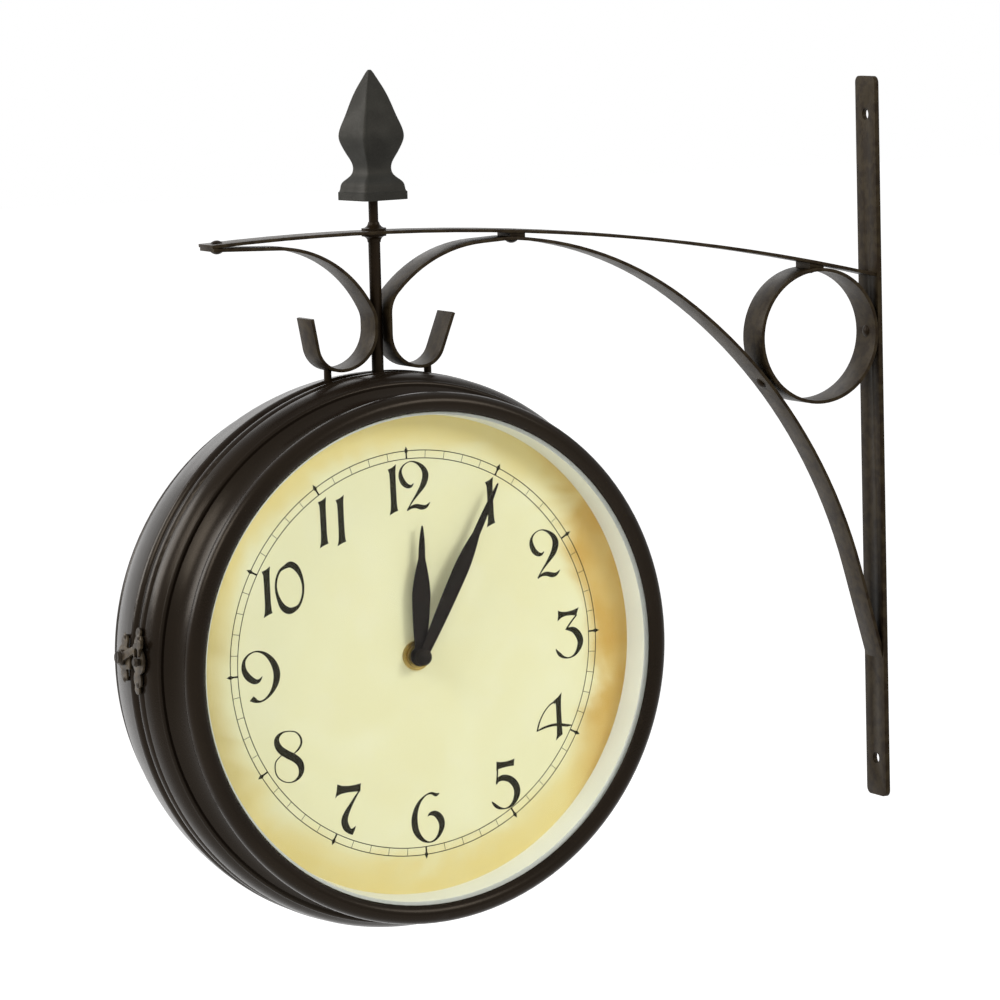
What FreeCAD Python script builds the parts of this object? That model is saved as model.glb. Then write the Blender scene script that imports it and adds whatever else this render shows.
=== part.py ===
import FreeCAD, Part
import math
import os

# Double sided station clock on a scrolled wall bracket. Millimetres, +Z up.
# The wall is the plane X = 0 and the clock stands out from it towards -X.
# Y = 0 is the middle plane of the bracket, and Z = 0 lies midway between the two wall screws.
# The front dial faces -Y and the rear dial faces +Y.

V = FreeCAD.Vector
X_AXIS = V(1, 0, 0)
Y_AXIS = V(0, 1, 0)
Z_AXIS = V(0, 0, 1)

# ---------------------------------------------------------------- driving dimensions
# Wall bar
bar_length = 319.0
bar_width = 16.0
bar_thickness = 2.2
bar_corner = 3.0
screw_spacing = 285.6
screw_hole_r = 2.5

# Case: radii measured from the dial's centre, depths measured outwards from the seam
case_x = -243.4                 # the case's axis, from the wall
case_z = -71.0                  # the case's axis, from the middle of the wall screws
seam_y = -4.0                   # the seam between the halves, so that the post stands on the rear half
seam_gap = 0.33                 # half of the gap at the seam
sheet = 1.0                     # thickness of the spun sheet
throat_r = 115.6                # the edge at the seam
throat_end = 1.4
flange_r = 117.1                # crest of the front half's rolled edge
rolled_edge_depth = 4.0
rolled_edge_end = 6.6
groove_r = 115.9
groove_end = 7.8
ovolo_r = 116.8
ovolo_start = 8.6
ovolo_end = 16.6
ovolo_end_r = 113.9
step_round = (113.45, 17.3)     # middle of the small round between ovolo and step
step_depth = 17.6
step_outer_r = 112.7
cove_outer_r = 111.6
neck_r = 106.0
neck_start = 30.0
neck_end = 36.8
drum_round = (116.75, 2.75)     # middle of the round from the seam to the rear half's drum
drum_start = (117.0, 5.0)
drum_middle = (114.85, 19.0)
drum_end = (110.5, 32.8)
drum_corner = (110.25, 33.35)
shoulder_r = 109.7
shoulder_depth = 33.5
seat_depth = 24.05              # the step inside each half that the dial's rim leans on
seat_r = 106.35
seat_lip_depth = 20.8           # the small lip that keeps the snap ring in
seat_lip_r = 105.9
seat_end = 20.0
edge_inner_r = 114.5
lip_inner_r = 113.2
lip_outer_r = 114.3
lip_reach = 2.5
lip_root = 8.0
lip_shoulder = 0.5

# Bezel, glass, spacer ring and dial
bead_depth = 37.2
front_bead = (106.5, 4.35)      # the bead's ring radius and section radius
rear_bead = (105.4, 3.8)
aperture_r = 102.66
lip_rise = 2.1
bead_shoulder = 120.0           # degrees round the bead's section, from its widest place
bead_foot = -40.0               # degrees at which the bead's sheet ends behind
bezel_wall = 1.1
skirt_length = 3.4
fit_gap = 0.1                   # play between bezel and neck, and round the glass
glass_r = 104.3
glass_back = 37.0
glass_thickness = 2.0
dial_face = 24.0                # depth of the dial's printed face
dial_thickness = 1.5
dial_r = 105.5
dial_hole_play = 0.2
spacer_back_r = 100.4
spacer_front_r = 101.4
spacer_wall = 0.8
spacer_flange_r = 104.2
snap_ring_r = 105.4
snap_ring_wire_r = 0.8
snap_ring_gap_deg = 14.0

# Hands, at five past twelve; widths, and radii at which the leaf is widest and narrowest
hour_leaf = {"reach": 54.5, "belly": 8.4, "belly_r": 26.0, "waist": 2.9, "waist_r": 41.0, "root": 4.3}
minute_leaf = {"reach": 79.0, "belly": 7.0, "belly_r": 40.0, "waist": 3.2, "waist_r": 56.0, "root": 3.8}
leaf_tip = 0.5
leaf_swell = 0.35               # how far the leaf's flanks bend out or in
hour_hub_r = 4.2
minute_hub_r = 3.6
hour_angle = 2.5
minute_angle = 28.0
hand_thickness = 0.5
hour_hand_depth = 27.9
minute_hand_depth = 30.2
cap_r = 3.4
cap_rim = 1.2
cap_dome = 1.6
cap_bore = 1.4
shaft_nut_flange = (6.25, 1.1)  # radius and height
shaft_nut_collar = (4.9, 1.5)

# Movement: a square battery movement behind each dial
movement_side = 56.0
movement_back = 7.0
movement_corner = 3.0
movement_wall = 1.1
cover_thickness = 1.2
gasket_thickness = 0.5
gasket_r = 9.0
bushing_r = 3.9
bushing_end = 27.2
wheel_distance = 7.5            # from the hands' axis up to the motion wheel's axis
minute_pinion_teeth = 12
motion_wheel_teeth = 36
motion_pinion_teeth = 12
hour_wheel_teeth = 48
centre_wheel_teeth = 60
centre_wheel_r = 6.3
centre_wheel_depth = (9.8, 10.8)
minute_pinion_depth = (12.4, 14.4)
motion_wheel_depth = (12.8, 14.0)
motion_pinion_depth = (14.0, 17.2)
hour_wheel_depth = (15.2, 16.4)
tooth_rise = 0.75               # in modules, outside the pitch circle
tooth_fall = 1.05               # in modules, inside the pitch circle
tooth_tip_half = 0.09           # in pitches
tooth_root_half = 0.27
arbor_r = 1.4
arbor_back = 9.0
arbor_end = 1.2                 # beyond the minute hand
pivot_r = 0.5
pivot_back = 7.4
pivot_overlap = 0.1
hour_tube_r = 2.45
hour_tube_end = 0.3             # beyond the hour hand
motion_arbor_r = 0.6
motion_arbor_depth = (3.4, 19.4)
boss_r = 1.6
boss_depth = 18.0
boss_bore_depth = (17.5, 19.7)
knob_r = 4.3
knob_ribs = 20
knob_depth = (3.0, 6.2)
running_gap = 0.08
battery_r = 7.0
battery_length = 49.5
battery_z = -19.4
battery_clearance = 0.05
battery_nub = (2.6, 1.2)        # radius and length of the raised contact
bay_gap = 0.4                   # between the cell and the partition above it
contact_half = 5.0
contact_plate = 0.4
contact_spring = (4.0, 2.0, 1.4)    # radii at its two ends, length

# Bracket straps: places in the case's own X and Z, from the dial's centre
strap_width = 14.0
strap_thickness = 1.4
top_strap_bow_r = 1050.0
top_strap_apex = (-12.7, 175.67)
top_strap_tip = -77.0
ring_r = 29.7
ring_z = 118.7
ring_width = 16.0
ring_thickness = 1.5
scroll_post_gap = 0.15
arch_start = (58.3, 169.25)     # where the right scroll runs on into the arch
joint_x = 64.6                  # where the arch is fixed under the top strap
spacer_length = 7.0
spacer_width = 12.0

# Bends of the straps, in order: ("turn", radius, degrees) or ("go", length)
left_dip = 1.8                  # degrees by which the left scroll leaves the tip downwards
left_shoulder = [("turn", 49.2, 62.8), ("turn", 11.3, 90 - 62.8 - left_dip)]
left_curl = [("go", 3.0), ("turn", 16.2, 90.0), ("turn", 11.1, 79.9), ("go", 13.2)]
right_dip = 2.9
right_shoulder = [("turn", 59.0, 44.3), ("turn", 13.0, 90 - 44.3 - right_dip)]
right_curl = [("go", 9.0), ("turn", 13.95, 90.0), ("turn", 10.5, 69.0), ("go", 16.0)]
arch_bends = [("turn", 40.0, 7.8), ("turn", 159.5, 31.0), ("turn", 230.4, 38.5), ("go", 80.0)]

# Post, finial and what stands on the case
post_r = 2.5
post_stud_r = 2.0
collar_r = 5.2
finial_base = 188.4
finial_side = 22.0
finial_turn = 9.0
finial_thread = 10.0
finial_widths = [(3.3, 1.0), (6.2, 0.915), (8.6, 0.76), (11.0, 0.585), (14.0, 0.555), (18.8, 0.717),
                 (22.3, 0.852), (25.9, 0.938), (29.5, 0.9), (34.2, 0.76), (40.2, 0.59), (46.1, 0.393),
                 (51.6, 0.16), (53.9, 0.04)]      # height above the base, share of finial_side
post_foot = 107.5
post_nut = (8.0, 4.0, 109.0)    # across flats, height, foot above the case's axis
stub_nut = (5.5, 2.4, 107.0)
collar_height = 3.4
collar_gap = 0.1
stub_x = 23.3
stub_r = 1.6
stub_foot = 106.0
stub_reach = 20.0
rivet_r = 1.5
rivet_head_r = 2.6
rivet_head = 1.1
rivet_lift = 0.15               # a head's rim clears a bent strap by this
drill_overrun = 1.0
tip_rivet_inset = 5.0
joint_gap = 0.05
ring_touch = 217.0              # degrees round the ring at which it meets the arch

# Hinge at 3 o'clock and latch at 9 o'clock; small parts start inside the case's edge
root_r = 112.6
case_rivet_r = 0.9
case_rivet_head = (1.6, 0.6)    # radius and height
leaf_r = 117.6
leaf_thickness = 0.9
leaf_outer = leaf_r + leaf_thickness
leaf_start = 1.4                # from the seam
leaf_reach = 14.0
hinge_height = 34.0
hinge_pin_r = 1.1
hinge_pin_cap = (1.8, 1.0, 0.1)     # radius, height, play under the cap
knuckle_r = 2.3
knuckle_axis = 120.6
knuckle_web = (0.9, 2.2)        # from the seam
web_root = 115.5
web_reach = 1.0                 # the web ends this far short of the knuckle's axis
rear_knuckles = ((-17.0, -6.1), (6.1, 17.0))
front_knuckles = ((-5.9, 5.9),)
hinge_rivet_turns = (-5.5, 5.5)     # degrees from the leaf's middle
latch_turn = 3.0                # degrees above 9 o'clock
rear_lobes = [(7.5, 0, 5.6), (7.0, 6.6, 2.9), (7.0, -6.6, 2.9), (2.8, 0, 4.4)]     # depth, height, radius
front_lobes = [(-7.5, 0, 5.4), (-6.4, 7.4, 3.6), (-6.4, -7.4, 3.6), (-5.6, 11.6, 2.2), (-5.6, -11.6, 2.2)]
lobes_rear_span = (1.2, 16.0)
lobes_front_span = (-15.0, -1.2)
rear_latch_rivet = (7.0, 4.3)       # depth, degrees from the latch's middle
front_latch_rivet = (-6.4, 4.73)
latch_pivot_depth = 8.0
latch_keeper_depth = 9.0
latch_lift = 14.0               # the hook rests just lifted off its keeper
hook_inner = leaf_outer + 0.3
hook_thickness = 1.3
hook_eye_r = 3.3
hook_nose = (0.6, 3.3)          # height and radius
hook_arm = (1.6, 2.9, 0.2, -2.0)    # heights: eye top, nose top, nose bottom, eye bottom
hook_tab = (3.6, 2.6, 1.9)      # beyond the nose, height, radius
head_play = 0.15                # between the hook and the heads over it
pivot_screw_r = 1.3
pivot_head = (2.9, 2.3, 1.2)    # radii, height
pivot_slot = (0.6, 0.5)         # width, depth
peg_r = 1.5
peg_play = 0.2
peg_head = (2.1, 1.4, 1.1)

case_centre = V(case_x, seam_y, case_z)
strap_half = strap_thickness / 2


# ---------------------------------------------------------------- helpers
def save(name, shape):
    """Write one sub-part; a list of solids becomes one group."""
    shapes = shape if isinstance(shape, list) else [shape]
    solids = [solid for piece in shapes for solid in piece.Solids]
    group = solids[0] if len(solids) == 1 else Part.makeCompound(solids)
    group.exportStep(os.path.join("parts", name + ".step"))


def profile_wire(steps, to_3d):
    """Closed wire through (a, b) points; a step ('arc', middle, end) bends through its middle."""
    edges = []
    here = steps[0]
    for step in list(steps[1:]) + [steps[0]]:
        if step[0] == "arc":
            edges.append(Part.Arc(to_3d(here), to_3d(step[1]), to_3d(step[2])).toShape())
            here = step[2]
        elif step != here:
            edges.append(Part.LineSegment(to_3d(here), to_3d(step)).toShape())
            here = step
    return Part.Wire(edges)


def spin(steps, degrees=360.0):
    """Solid of revolution about the dial axis from (radius, depth) steps; +Y is outwards."""
    wire = profile_wire(steps, lambda p: V(p[0], p[1], 0))
    return Part.Face(wire).revolve(V(0, 0, 0), Y_AXIS, degrees)


def tube(outer_r, inner_r, start, end):
    """Round collar along the dial axis between two depths."""
    solid = Part.makeCylinder(outer_r, end - start, V(0, start, 0), Y_AXIS)
    if inner_r > 0:
        solid = solid.cut(Part.makeCylinder(inner_r, end - start + 2, V(0, start - 1, 0), Y_AXIS))
    return solid


def rod(radius, start, length, direction=Z_AXIS):
    """Cylinder of a length from a start along a direction."""
    return Part.makeCylinder(radius, length, start, direction)


def block(x0, x1, y0, y1, z0, z1):
    """Box between two planes in each direction."""
    return Part.makeBox(x1 - x0, y1 - y0, z1 - z0, V(x0, y0, z0))


def on_side(shape, side):
    """Take a piece built facing +Y at the dial's centre to its side of the case."""
    placed = shape.copy()
    if side == "front":
        placed.rotate(V(0, 0, 0), Z_AXIS, 180)
    placed.translate(case_centre)
    return placed


def at_case(shape):
    """Take a piece built about the case's axis, in the bracket's plane, to its place."""
    placed = shape.copy()
    placed.translate(V(case_x, 0, case_z))
    return placed


def turned_about_dial(shape, degrees):
    """Turn a piece round the dial axis; positive degrees take 9 o'clock upwards."""
    turned = shape.copy()
    turned.rotate(V(0, 0, 0), Y_AXIS, degrees)
    return turned


def bend_radius(fall, run):
    """Radius of an arc that starts along the dial axis and falls by an amount over a run."""
    return (fall ** 2 + run ** 2) / (2 * fall)


def circle_through(a, b, c):
    """Centre and radius of the circle through three points of a profile."""
    circle = Part.Arc(V(a[0], a[1], 0), V(b[0], b[1], 0), V(c[0], c[1], 0)).toShape().Curve
    return (circle.Center.x, circle.Center.y), circle.Radius


def at_depth(centre, radius, depth, side=1):
    """Point of a profile's circle at a depth, on its outer side, or inner side with side -1."""
    return (centre[0] + side * math.sqrt(radius ** 2 - (depth - centre[1]) ** 2), depth)


# ---------------------------------------------------------------- case halves
seat_steps = [
    (neck_r - sheet, neck_end), (neck_r - sheet, seat_depth), (seat_r, seat_depth),
    (seat_r, seat_lip_depth), (seat_lip_r, seat_lip_depth), (seat_lip_r, seat_end)]


def front_shell():
    """Spun half: rolled edge, groove, ovolo, step, cove and neck, with the dial's seat inside."""
    ovolo_bend = bend_radius(ovolo_r - ovolo_end_r, ovolo_end - ovolo_start)
    cove_bend = bend_radius(cove_outer_r - neck_r, neck_start - step_depth)
    step_inner = step_depth - sheet
    ovolo_inner_end = step_inner - sheet

    def ovolo(depth, inwards=0.0):
        return at_depth((ovolo_r - ovolo_bend, ovolo_start), ovolo_bend - inwards, depth)

    def cove(depth, inwards=0.0):
        return at_depth((neck_r + cove_bend, neck_start), cove_bend + inwards, depth, -1)

    return spin([
        (throat_r, seam_gap),
        (throat_r, throat_end),
        ("arc", (flange_r, rolled_edge_depth), (groove_r, rolled_edge_end)),
        (groove_r, groove_end),
        (ovolo_r, ovolo_start),
        ("arc", ovolo((ovolo_start + ovolo_end) / 2), (ovolo_end_r, ovolo_end)),
        ("arc", step_round, (step_outer_r, step_depth)),
        (cove_outer_r, step_depth),
        ("arc", cove((step_depth + neck_start) / 2), (neck_r, neck_start)),
        (neck_r, neck_end),
    ] + seat_steps + [
        cove(seat_end, sheet),
        ("arc", cove((seat_end + step_inner) / 2, sheet), cove(step_inner, sheet)),
        (ovolo(ovolo_inner_end, sheet)[0] - sheet, step_inner),
        ovolo(ovolo_inner_end, sheet),
        ("arc", ovolo((ovolo_inner_end + ovolo_start) / 2, sheet), (ovolo_r - sheet, ovolo_start)),
        (ovolo_r - sheet, lip_root),
        (edge_inner_r, lip_root),
        (edge_inner_r, seam_gap),
    ])


def rear_shell():
    """Spun half: a plain drum that bends in to a shoulder and neck, with the dial's seat inside."""
    centre, bend = circle_through(drum_start, drum_middle, drum_end)
    shoulder_inner = shoulder_depth - sheet
    seat_outer_r = seat_r + sheet
    seat_outer_end = seat_depth + sheet
    inner_middle = at_depth(centre, bend - sheet, (lip_root + shoulder_inner) / 2)
    return spin([
        (throat_r, seam_gap),
        (throat_r, throat_end),
        ("arc", drum_round, drum_start),
        ("arc", drum_middle, drum_end),
        ("arc", drum_corner, (shoulder_r, shoulder_depth)),
        (neck_r, shoulder_depth),
        (neck_r, neck_end),
    ] + seat_steps + [
        (seat_outer_r, seat_end),
        (seat_outer_r, seat_outer_end),
        (neck_r, seat_outer_end),
        (neck_r, shoulder_inner),
        at_depth(centre, bend - sheet, shoulder_inner),
        ("arc", inner_middle, at_depth(centre, bend - sheet, lip_root)),
        (edge_inner_r, lip_root),
        (edge_inner_r, seam_gap),
    ])


def register_lip():
    """Ring inside the rear half that reaches into the front half and closes the seam."""
    return spin([(lip_outer_r, -lip_reach), (lip_outer_r, lip_shoulder), (edge_inner_r, lip_shoulder),
                 (edge_inner_r, lip_root - sheet), (lip_inner_r, lip_root - sheet),
                 (lip_inner_r, -lip_reach)])


def bezel(bead):
    """Rolled bezel with a rounded bead, a hollow back, and a rebate that holds the glass."""
    bead_r, section_r = bead
    inner_r = section_r - sheet

    def on_bead(radius, degrees):
        turn = math.radians(degrees)
        return (bead_r + radius * math.cos(turn), bead_depth + radius * math.sin(turn))

    wall_r = neck_r + bezel_wall
    crest_inner = (wall_r, bead_depth + math.sqrt(inner_r ** 2 - (wall_r - bead_r) ** 2))
    skirt_end = bead_depth - skirt_length
    rebate_r = glass_r + fit_gap
    rebate_floor = glass_back + glass_thickness
    fit_r = neck_r + fit_gap
    return spin([
        (aperture_r, rebate_floor),
        (aperture_r, bead_depth + lip_rise),
        ("arc", on_bead(section_r, bead_shoulder), on_bead(section_r, 90)),
        ("arc", on_bead(section_r, 45), on_bead(section_r, 0)),
        ("arc", on_bead(section_r, bead_foot / 2), on_bead(section_r, bead_foot)),
        on_bead(inner_r, bead_foot),
        ("arc", on_bead(inner_r, 0), crest_inner),
        (wall_r, skirt_end),
        (fit_r, skirt_end),
        (fit_r, neck_end + fit_gap),
        (rebate_r, neck_end + fit_gap),
        (rebate_r, rebate_floor),
    ])


def glass():
    """Flat round pane."""
    return tube(glass_r, 0, glass_back, glass_back + glass_thickness)


def spacer_ring():
    """Pale tapered ring between dial and glass, flanged at both ends."""
    return spin([
        (spacer_back_r, dial_face),
        (spacer_front_r, glass_back),
        (spacer_flange_r, glass_back),
        (spacer_flange_r, glass_back - spacer_wall),
        (spacer_front_r + spacer_wall, glass_back - spacer_wall),
        (spacer_back_r + spacer_wall, dial_face + spacer_wall),
        (spacer_flange_r, dial_face + spacer_wall),
        (spacer_flange_r, dial_face),
    ])


def dial_plate():
    """Round dial with the hole for the movement's bushing."""
    return tube(dial_r, bushing_r + dial_hole_play, dial_face - dial_thickness, dial_face)


def snap_ring():
    """Split wire ring that holds dial, spacer ring and glass in the half."""
    depth = dial_face - dial_thickness - snap_ring_wire_r
    section = Part.Face(Part.Wire(Part.makeCircle(snap_ring_wire_r, V(snap_ring_r, depth, 0), Z_AXIS)))
    ring = section.revolve(V(0, 0, 0), Y_AXIS, 360.0 - snap_ring_gap_deg)
    ring.rotate(V(0, 0, 0), Y_AXIS, 90 + snap_ring_gap_deg / 2)
    return ring


# ---------------------------------------------------------------- hands
def leaf_hand(leaf, hub_r, bore_r, depth, degrees):
    """Leaf hand turned clockwise from twelve for a reader who faces it."""
    right = [(leaf["root"] / 2, 0), (leaf["belly"] / 2, leaf["belly_r"]),
             (leaf["waist"] / 2, leaf["waist_r"]), (leaf_tip / 2, leaf["reach"])]
    left = [(-x, r) for x, r in reversed(right)]
    steps = []
    for flank, swell in ((right, leaf_swell), (left, -leaf_swell)):
        steps.append(flank[0])
        for here, there in zip(flank, flank[1:]):
            steps.append(("arc", ((here[0] + there[0]) / 2 + swell, (here[1] + there[1]) / 2), there))
    wire = profile_wire(steps, lambda p: V(p[0], depth, p[1]))
    hand = Part.Face(wire).extrude(V(0, hand_thickness, 0))
    hand = hand.fuse(tube(hub_r, 0, depth, depth + hand_thickness)).removeSplitter()
    return turned_about_dial(hand.cut(tube(bore_r, 0, depth - 1, depth + hand_thickness + 1)), -degrees)


def hour_hand():
    """Hour hand on the hour wheel's tube."""
    return leaf_hand(hour_leaf, hour_hub_r, hour_tube_r, hour_hand_depth, hour_angle)


def minute_hand():
    """Minute hand on the arbor."""
    return leaf_hand(minute_leaf, minute_hub_r, arbor_r, minute_hand_depth, minute_angle)


def hand_nut():
    """Domed cap nut on the end of the minute arbor."""
    foot = minute_hand_depth + hand_thickness
    rim = foot + cap_rim
    ball_r = (cap_r ** 2 + cap_dome ** 2) / (2 * cap_dome)
    ball = Part.makeSphere(ball_r, V(0, rim + cap_dome - ball_r, 0))
    cap = tube(cap_r, 0, foot, rim).fuse(ball.common(tube(cap_r, 0, rim, rim + cap_dome + 1)))
    return cap.removeSplitter().cut(tube(arbor_r, 0, foot - 1, foot + cap_bore))


def shaft_nut():
    """Round brass nut with a flange, that clamps the movement to the dial."""
    foot_r, foot_height = shaft_nut_flange
    top_r, top_height = shaft_nut_collar
    foot_end = dial_face + foot_height
    foot = tube(foot_r, bushing_r, dial_face, foot_end)
    return foot.fuse(tube(top_r, bushing_r, foot_end, foot_end + top_height)).removeSplitter()


# ---------------------------------------------------------------- movement
def beside_axis(radius, start, end, distance=wheel_distance):
    """Cylinder along the dial axis's direction, a distance above it."""
    return Part.makeCylinder(radius, end - start, V(0, start, distance), Y_AXIS)


def gear(teeth, pitch_r, depths, bore_r=0.0, axis_z=0.0, turn=0.0):
    """Spur wheel with straight-flanked teeth; one tooth points up before it is turned."""
    start, end = depths
    module = 2 * pitch_r / teeth
    tip_r = pitch_r + tooth_rise * module
    valley_r = pitch_r - tooth_fall * module
    pitch = 2 * math.pi / teeth
    flanks = ((valley_r, -tooth_root_half), (tip_r, -tooth_tip_half),
              (tip_r, tooth_tip_half), (valley_r, tooth_root_half))
    corners = []
    for k in range(teeth):
        middle = k * pitch + math.radians(turn)
        for radius, offset in flanks:
            angle = middle + offset * pitch
            corners.append(V(radius * math.sin(angle), start, axis_z + radius * math.cos(angle)))
    corners.append(corners[0])
    wheel = Part.Face(Part.makePolygon(corners)).extrude(V(0, end - start, 0))
    if bore_r > 0:
        wheel = wheel.cut(beside_axis(bore_r, start - 1, end + 1, axis_z))
    return wheel


def pitch_radii(first, second):
    """Pitch radii of two wheels at the movement's wheel distance."""
    return wheel_distance * first / (first + second), wheel_distance * second / (first + second)


minute_pinion_r, motion_wheel_r = pitch_radii(minute_pinion_teeth, motion_wheel_teeth)
motion_pinion_r, hour_wheel_r = pitch_radii(motion_pinion_teeth, hour_wheel_teeth)


def minute_wheel():
    """Arbor for the minute hand, with the driven centre wheel and the minute pinion."""
    arbor = tube(arbor_r, 0, arbor_back, minute_hand_depth + hand_thickness + arbor_end)
    pivot = tube(pivot_r, 0, pivot_back, arbor_back + pivot_overlap)
    wheel = gear(centre_wheel_teeth, centre_wheel_r, centre_wheel_depth)
    pinion = gear(minute_pinion_teeth, minute_pinion_r, minute_pinion_depth)
    return arbor.fuse([pivot, wheel, pinion])


def motion_wheel():
    """Wheel and pinion on a long arbor that carries the setting knob at the back."""
    arbor = beside_axis(motion_arbor_r, *motion_arbor_depth)
    half_pitch = 180.0 / motion_wheel_teeth
    wheel = gear(motion_wheel_teeth, motion_wheel_r, motion_wheel_depth, 0, wheel_distance, half_pitch)
    pinion = gear(motion_pinion_teeth, motion_pinion_r, motion_pinion_depth, 0, wheel_distance)
    return arbor.fuse([wheel, pinion])


def hour_wheel():
    """Hour wheel on the tube that carries the hour hand."""
    half_pitch = 180.0 / hour_wheel_teeth
    back = hour_wheel_depth[0]
    end = hour_hand_depth + hand_thickness + hour_tube_end
    wheel = gear(hour_wheel_teeth, hour_wheel_r, hour_wheel_depth, 0, 0, half_pitch)
    barrel = tube(hour_tube_r, 0, back, end)
    return wheel.fuse(barrel).cut(tube(arbor_r + running_gap, 0, back - 1, end + 1))


def setting_knob():
    """Ribbed thumb knob on the motion wheel's arbor."""
    return gear(knob_ribs, knob_r, knob_depth, motion_arbor_r, wheel_distance)


movement_half = movement_side / 2
movement_front = dial_face - dial_thickness - gasket_thickness
front_inside = movement_front - movement_wall
partition = battery_z + battery_r + bay_gap     # height of the wall between bay and wheels


def round_corners(shape, lowest):
    """Round the corners along the dial axis that lie above a height."""
    corners = [e for e in shape.Edges
               if abs(e.tangentAt(e.FirstParameter).y) > 0.99 and e.BoundBox.ZMin > lowest]
    return shape.makeFillet(movement_corner, corners)


def movement_case():
    """Moulded case with a closed wheel chamber, an open battery bay and the threaded bushing."""
    half = movement_half
    inside = half - movement_wall
    chamber_back = movement_back + cover_thickness
    floor = partition + movement_wall
    body = round_corners(block(-half, half, movement_back, movement_front, -half, half), -half - 1)
    body = body.cut(block(-half - 1, half + 1, movement_back - 1, chamber_back, partition, half + 1))
    body = body.cut(block(-inside, inside, chamber_back - 1, front_inside, floor, inside))
    body = body.cut(block(-inside, inside, movement_back - 1, front_inside, -inside, partition))
    boss = beside_axis(boss_r, boss_depth, front_inside + 0.1)
    body = body.fuse([tube(bushing_r, 0, movement_front, bushing_end), boss])
    body = body.cut(tube(hour_tube_r + running_gap, 0, front_inside - 2, bushing_end + 1))
    return body.cut(beside_axis(motion_arbor_r + running_gap, *boss_bore_depth))


def movement_cover():
    """Plate over the wheel chamber, with the arbors' pivot holes."""
    half = movement_half
    back, front = movement_back, movement_back + cover_thickness
    plate = round_corners(block(-half, half, back, front, partition + joint_gap, half), 0)
    plate = plate.cut(tube(pivot_r + running_gap, 0, back - 1, front + 1))
    return plate.cut(beside_axis(motion_arbor_r + running_gap, back - 1, front + 1))


def movement_gasket():
    """Rubber washer between movement and dial."""
    return tube(gasket_r, bushing_r + fit_gap, movement_front, movement_front + gasket_thickness)


battery_depth = front_inside - battery_r - battery_clearance


def battery():
    """Cell lying across the movement, with its raised contact."""
    nub_r, nub_length = battery_nub
    can_length = battery_length - nub_length
    start = V(-battery_length / 2, battery_depth, battery_z)
    return rod(battery_r, start, can_length, X_AXIS).fuse(
        rod(nub_r, start + X_AXIS * can_length, nub_length, X_AXIS))


def battery_contacts():
    """Spring plates at the two ends of the battery."""
    reach = battery_length / 2
    wide_r, narrow_r, spring_length = contact_spring
    spring_foot = -reach - spring_length

    def plate(start):
        return block(start, start + contact_plate, battery_depth - contact_half, battery_depth + contact_half,
                     battery_z - contact_half, battery_z + contact_half)

    spring = Part.makeCone(wide_r, narrow_r, spring_length, V(spring_foot, battery_depth, battery_z), X_AXIS)
    return [plate(reach), plate(spring_foot - contact_plate).fuse(spring)]


# ---------------------------------------------------------------- bracket
def path_points(start, heading, moves):
    """Pieces (start, middle, end) of a path in X and Z. A move is ('go', length) or
    ('turn', radius, degrees); positive degrees turn clockwise."""
    pieces = []
    here = V(start[0], 0, start[1])
    angle = math.radians(heading)
    for move in moves:
        ahead = V(math.cos(angle), 0, math.sin(angle))
        if move[0] == "go":
            there = here + ahead * move[1]
            pieces.append((here, None, there))
        else:
            bend = math.radians(move[2])
            centre = here + V(ahead.z, 0, -ahead.x) * math.copysign(move[1], bend)
            arm = here - centre
            middle, there = [centre + V(arm.x * math.cos(part) + arm.z * math.sin(part), 0,
                                        arm.z * math.cos(part) - arm.x * math.sin(part))
                             for part in (bend / 2, bend)]
            pieces.append((here, middle, there))
            angle -= bend
        here = there
    return pieces


def beside(piece, distance):
    """The same piece of a path, moved to its left by a distance."""
    here, middle, there = piece
    if middle is None:
        ahead = (there - here).normalize()
        left = V(-ahead.z, 0, ahead.x) * distance
        return here + left, None, there + left
    centre = Part.Arc(here, middle, there).toShape().Curve.Center
    clockwise_turn = (middle - here).cross(there - middle).y > 0
    outwards = distance if clockwise_turn else -distance
    return tuple(p + (p - centre).normalize() * outwards for p in (here, middle, there))


def strap_along(pieces, width, thickness):
    """Flat strap of constant thickness whose middle follows the path."""
    left = [beside(piece, thickness / 2) for piece in pieces]
    right = [beside(piece, -thickness / 2) for piece in pieces]
    around = left + [(left[-1][2], None, right[-1][2])]
    around += [(there, middle, here) for here, middle, there in reversed(right)]
    around.append((right[0][0], None, left[0][0]))
    edges = [Part.LineSegment(a, b).toShape() if m is None else Part.Arc(a, m, b).toShape()
             for a, m, b in around]
    strap = Part.Face(Part.Wire(edges)).extrude(V(0, width, 0))
    strap.translate(V(0, -width / 2, 0))
    return strap


post_side_x = post_r + scroll_post_gap + strap_half     # a scroll's middle, beside the post
bar_face = -case_x - bar_thickness              # the wall bar's near face, in the case's own X
ring_x = bar_face - ring_r


def top_strap_z(x):
    """Middle of the top strap above the case's axis."""
    along = x - top_strap_apex[0]
    return top_strap_apex[1] - strap_half - top_strap_bow_r + math.sqrt(top_strap_bow_r ** 2 - along ** 2)


def scroll_path(start, dip, shoulder, curl):
    """From a start left of the post, down beside the post and up into the curl."""
    sideways = path_points((0, 0), -dip, shoulder)[-1][2].x
    lead = (-post_side_x - start[0] - sideways) / math.cos(math.radians(dip))
    return path_points(start, -dip, [("go", lead)] + shoulder + curl)


left_start_x = top_strap_tip + 0.6
left_start = (left_start_x, top_strap_z(left_start_x) - strap_thickness - joint_gap)


def right_scroll_path():
    """Seen in a mirror the right scroll is built like the left one."""
    pieces = scroll_path((-arch_start[0], arch_start[1]), right_dip, right_shoulder, right_curl)
    return [tuple(None if p is None else V(-p.x, 0, p.z) for p in piece) for piece in pieces]


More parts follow.
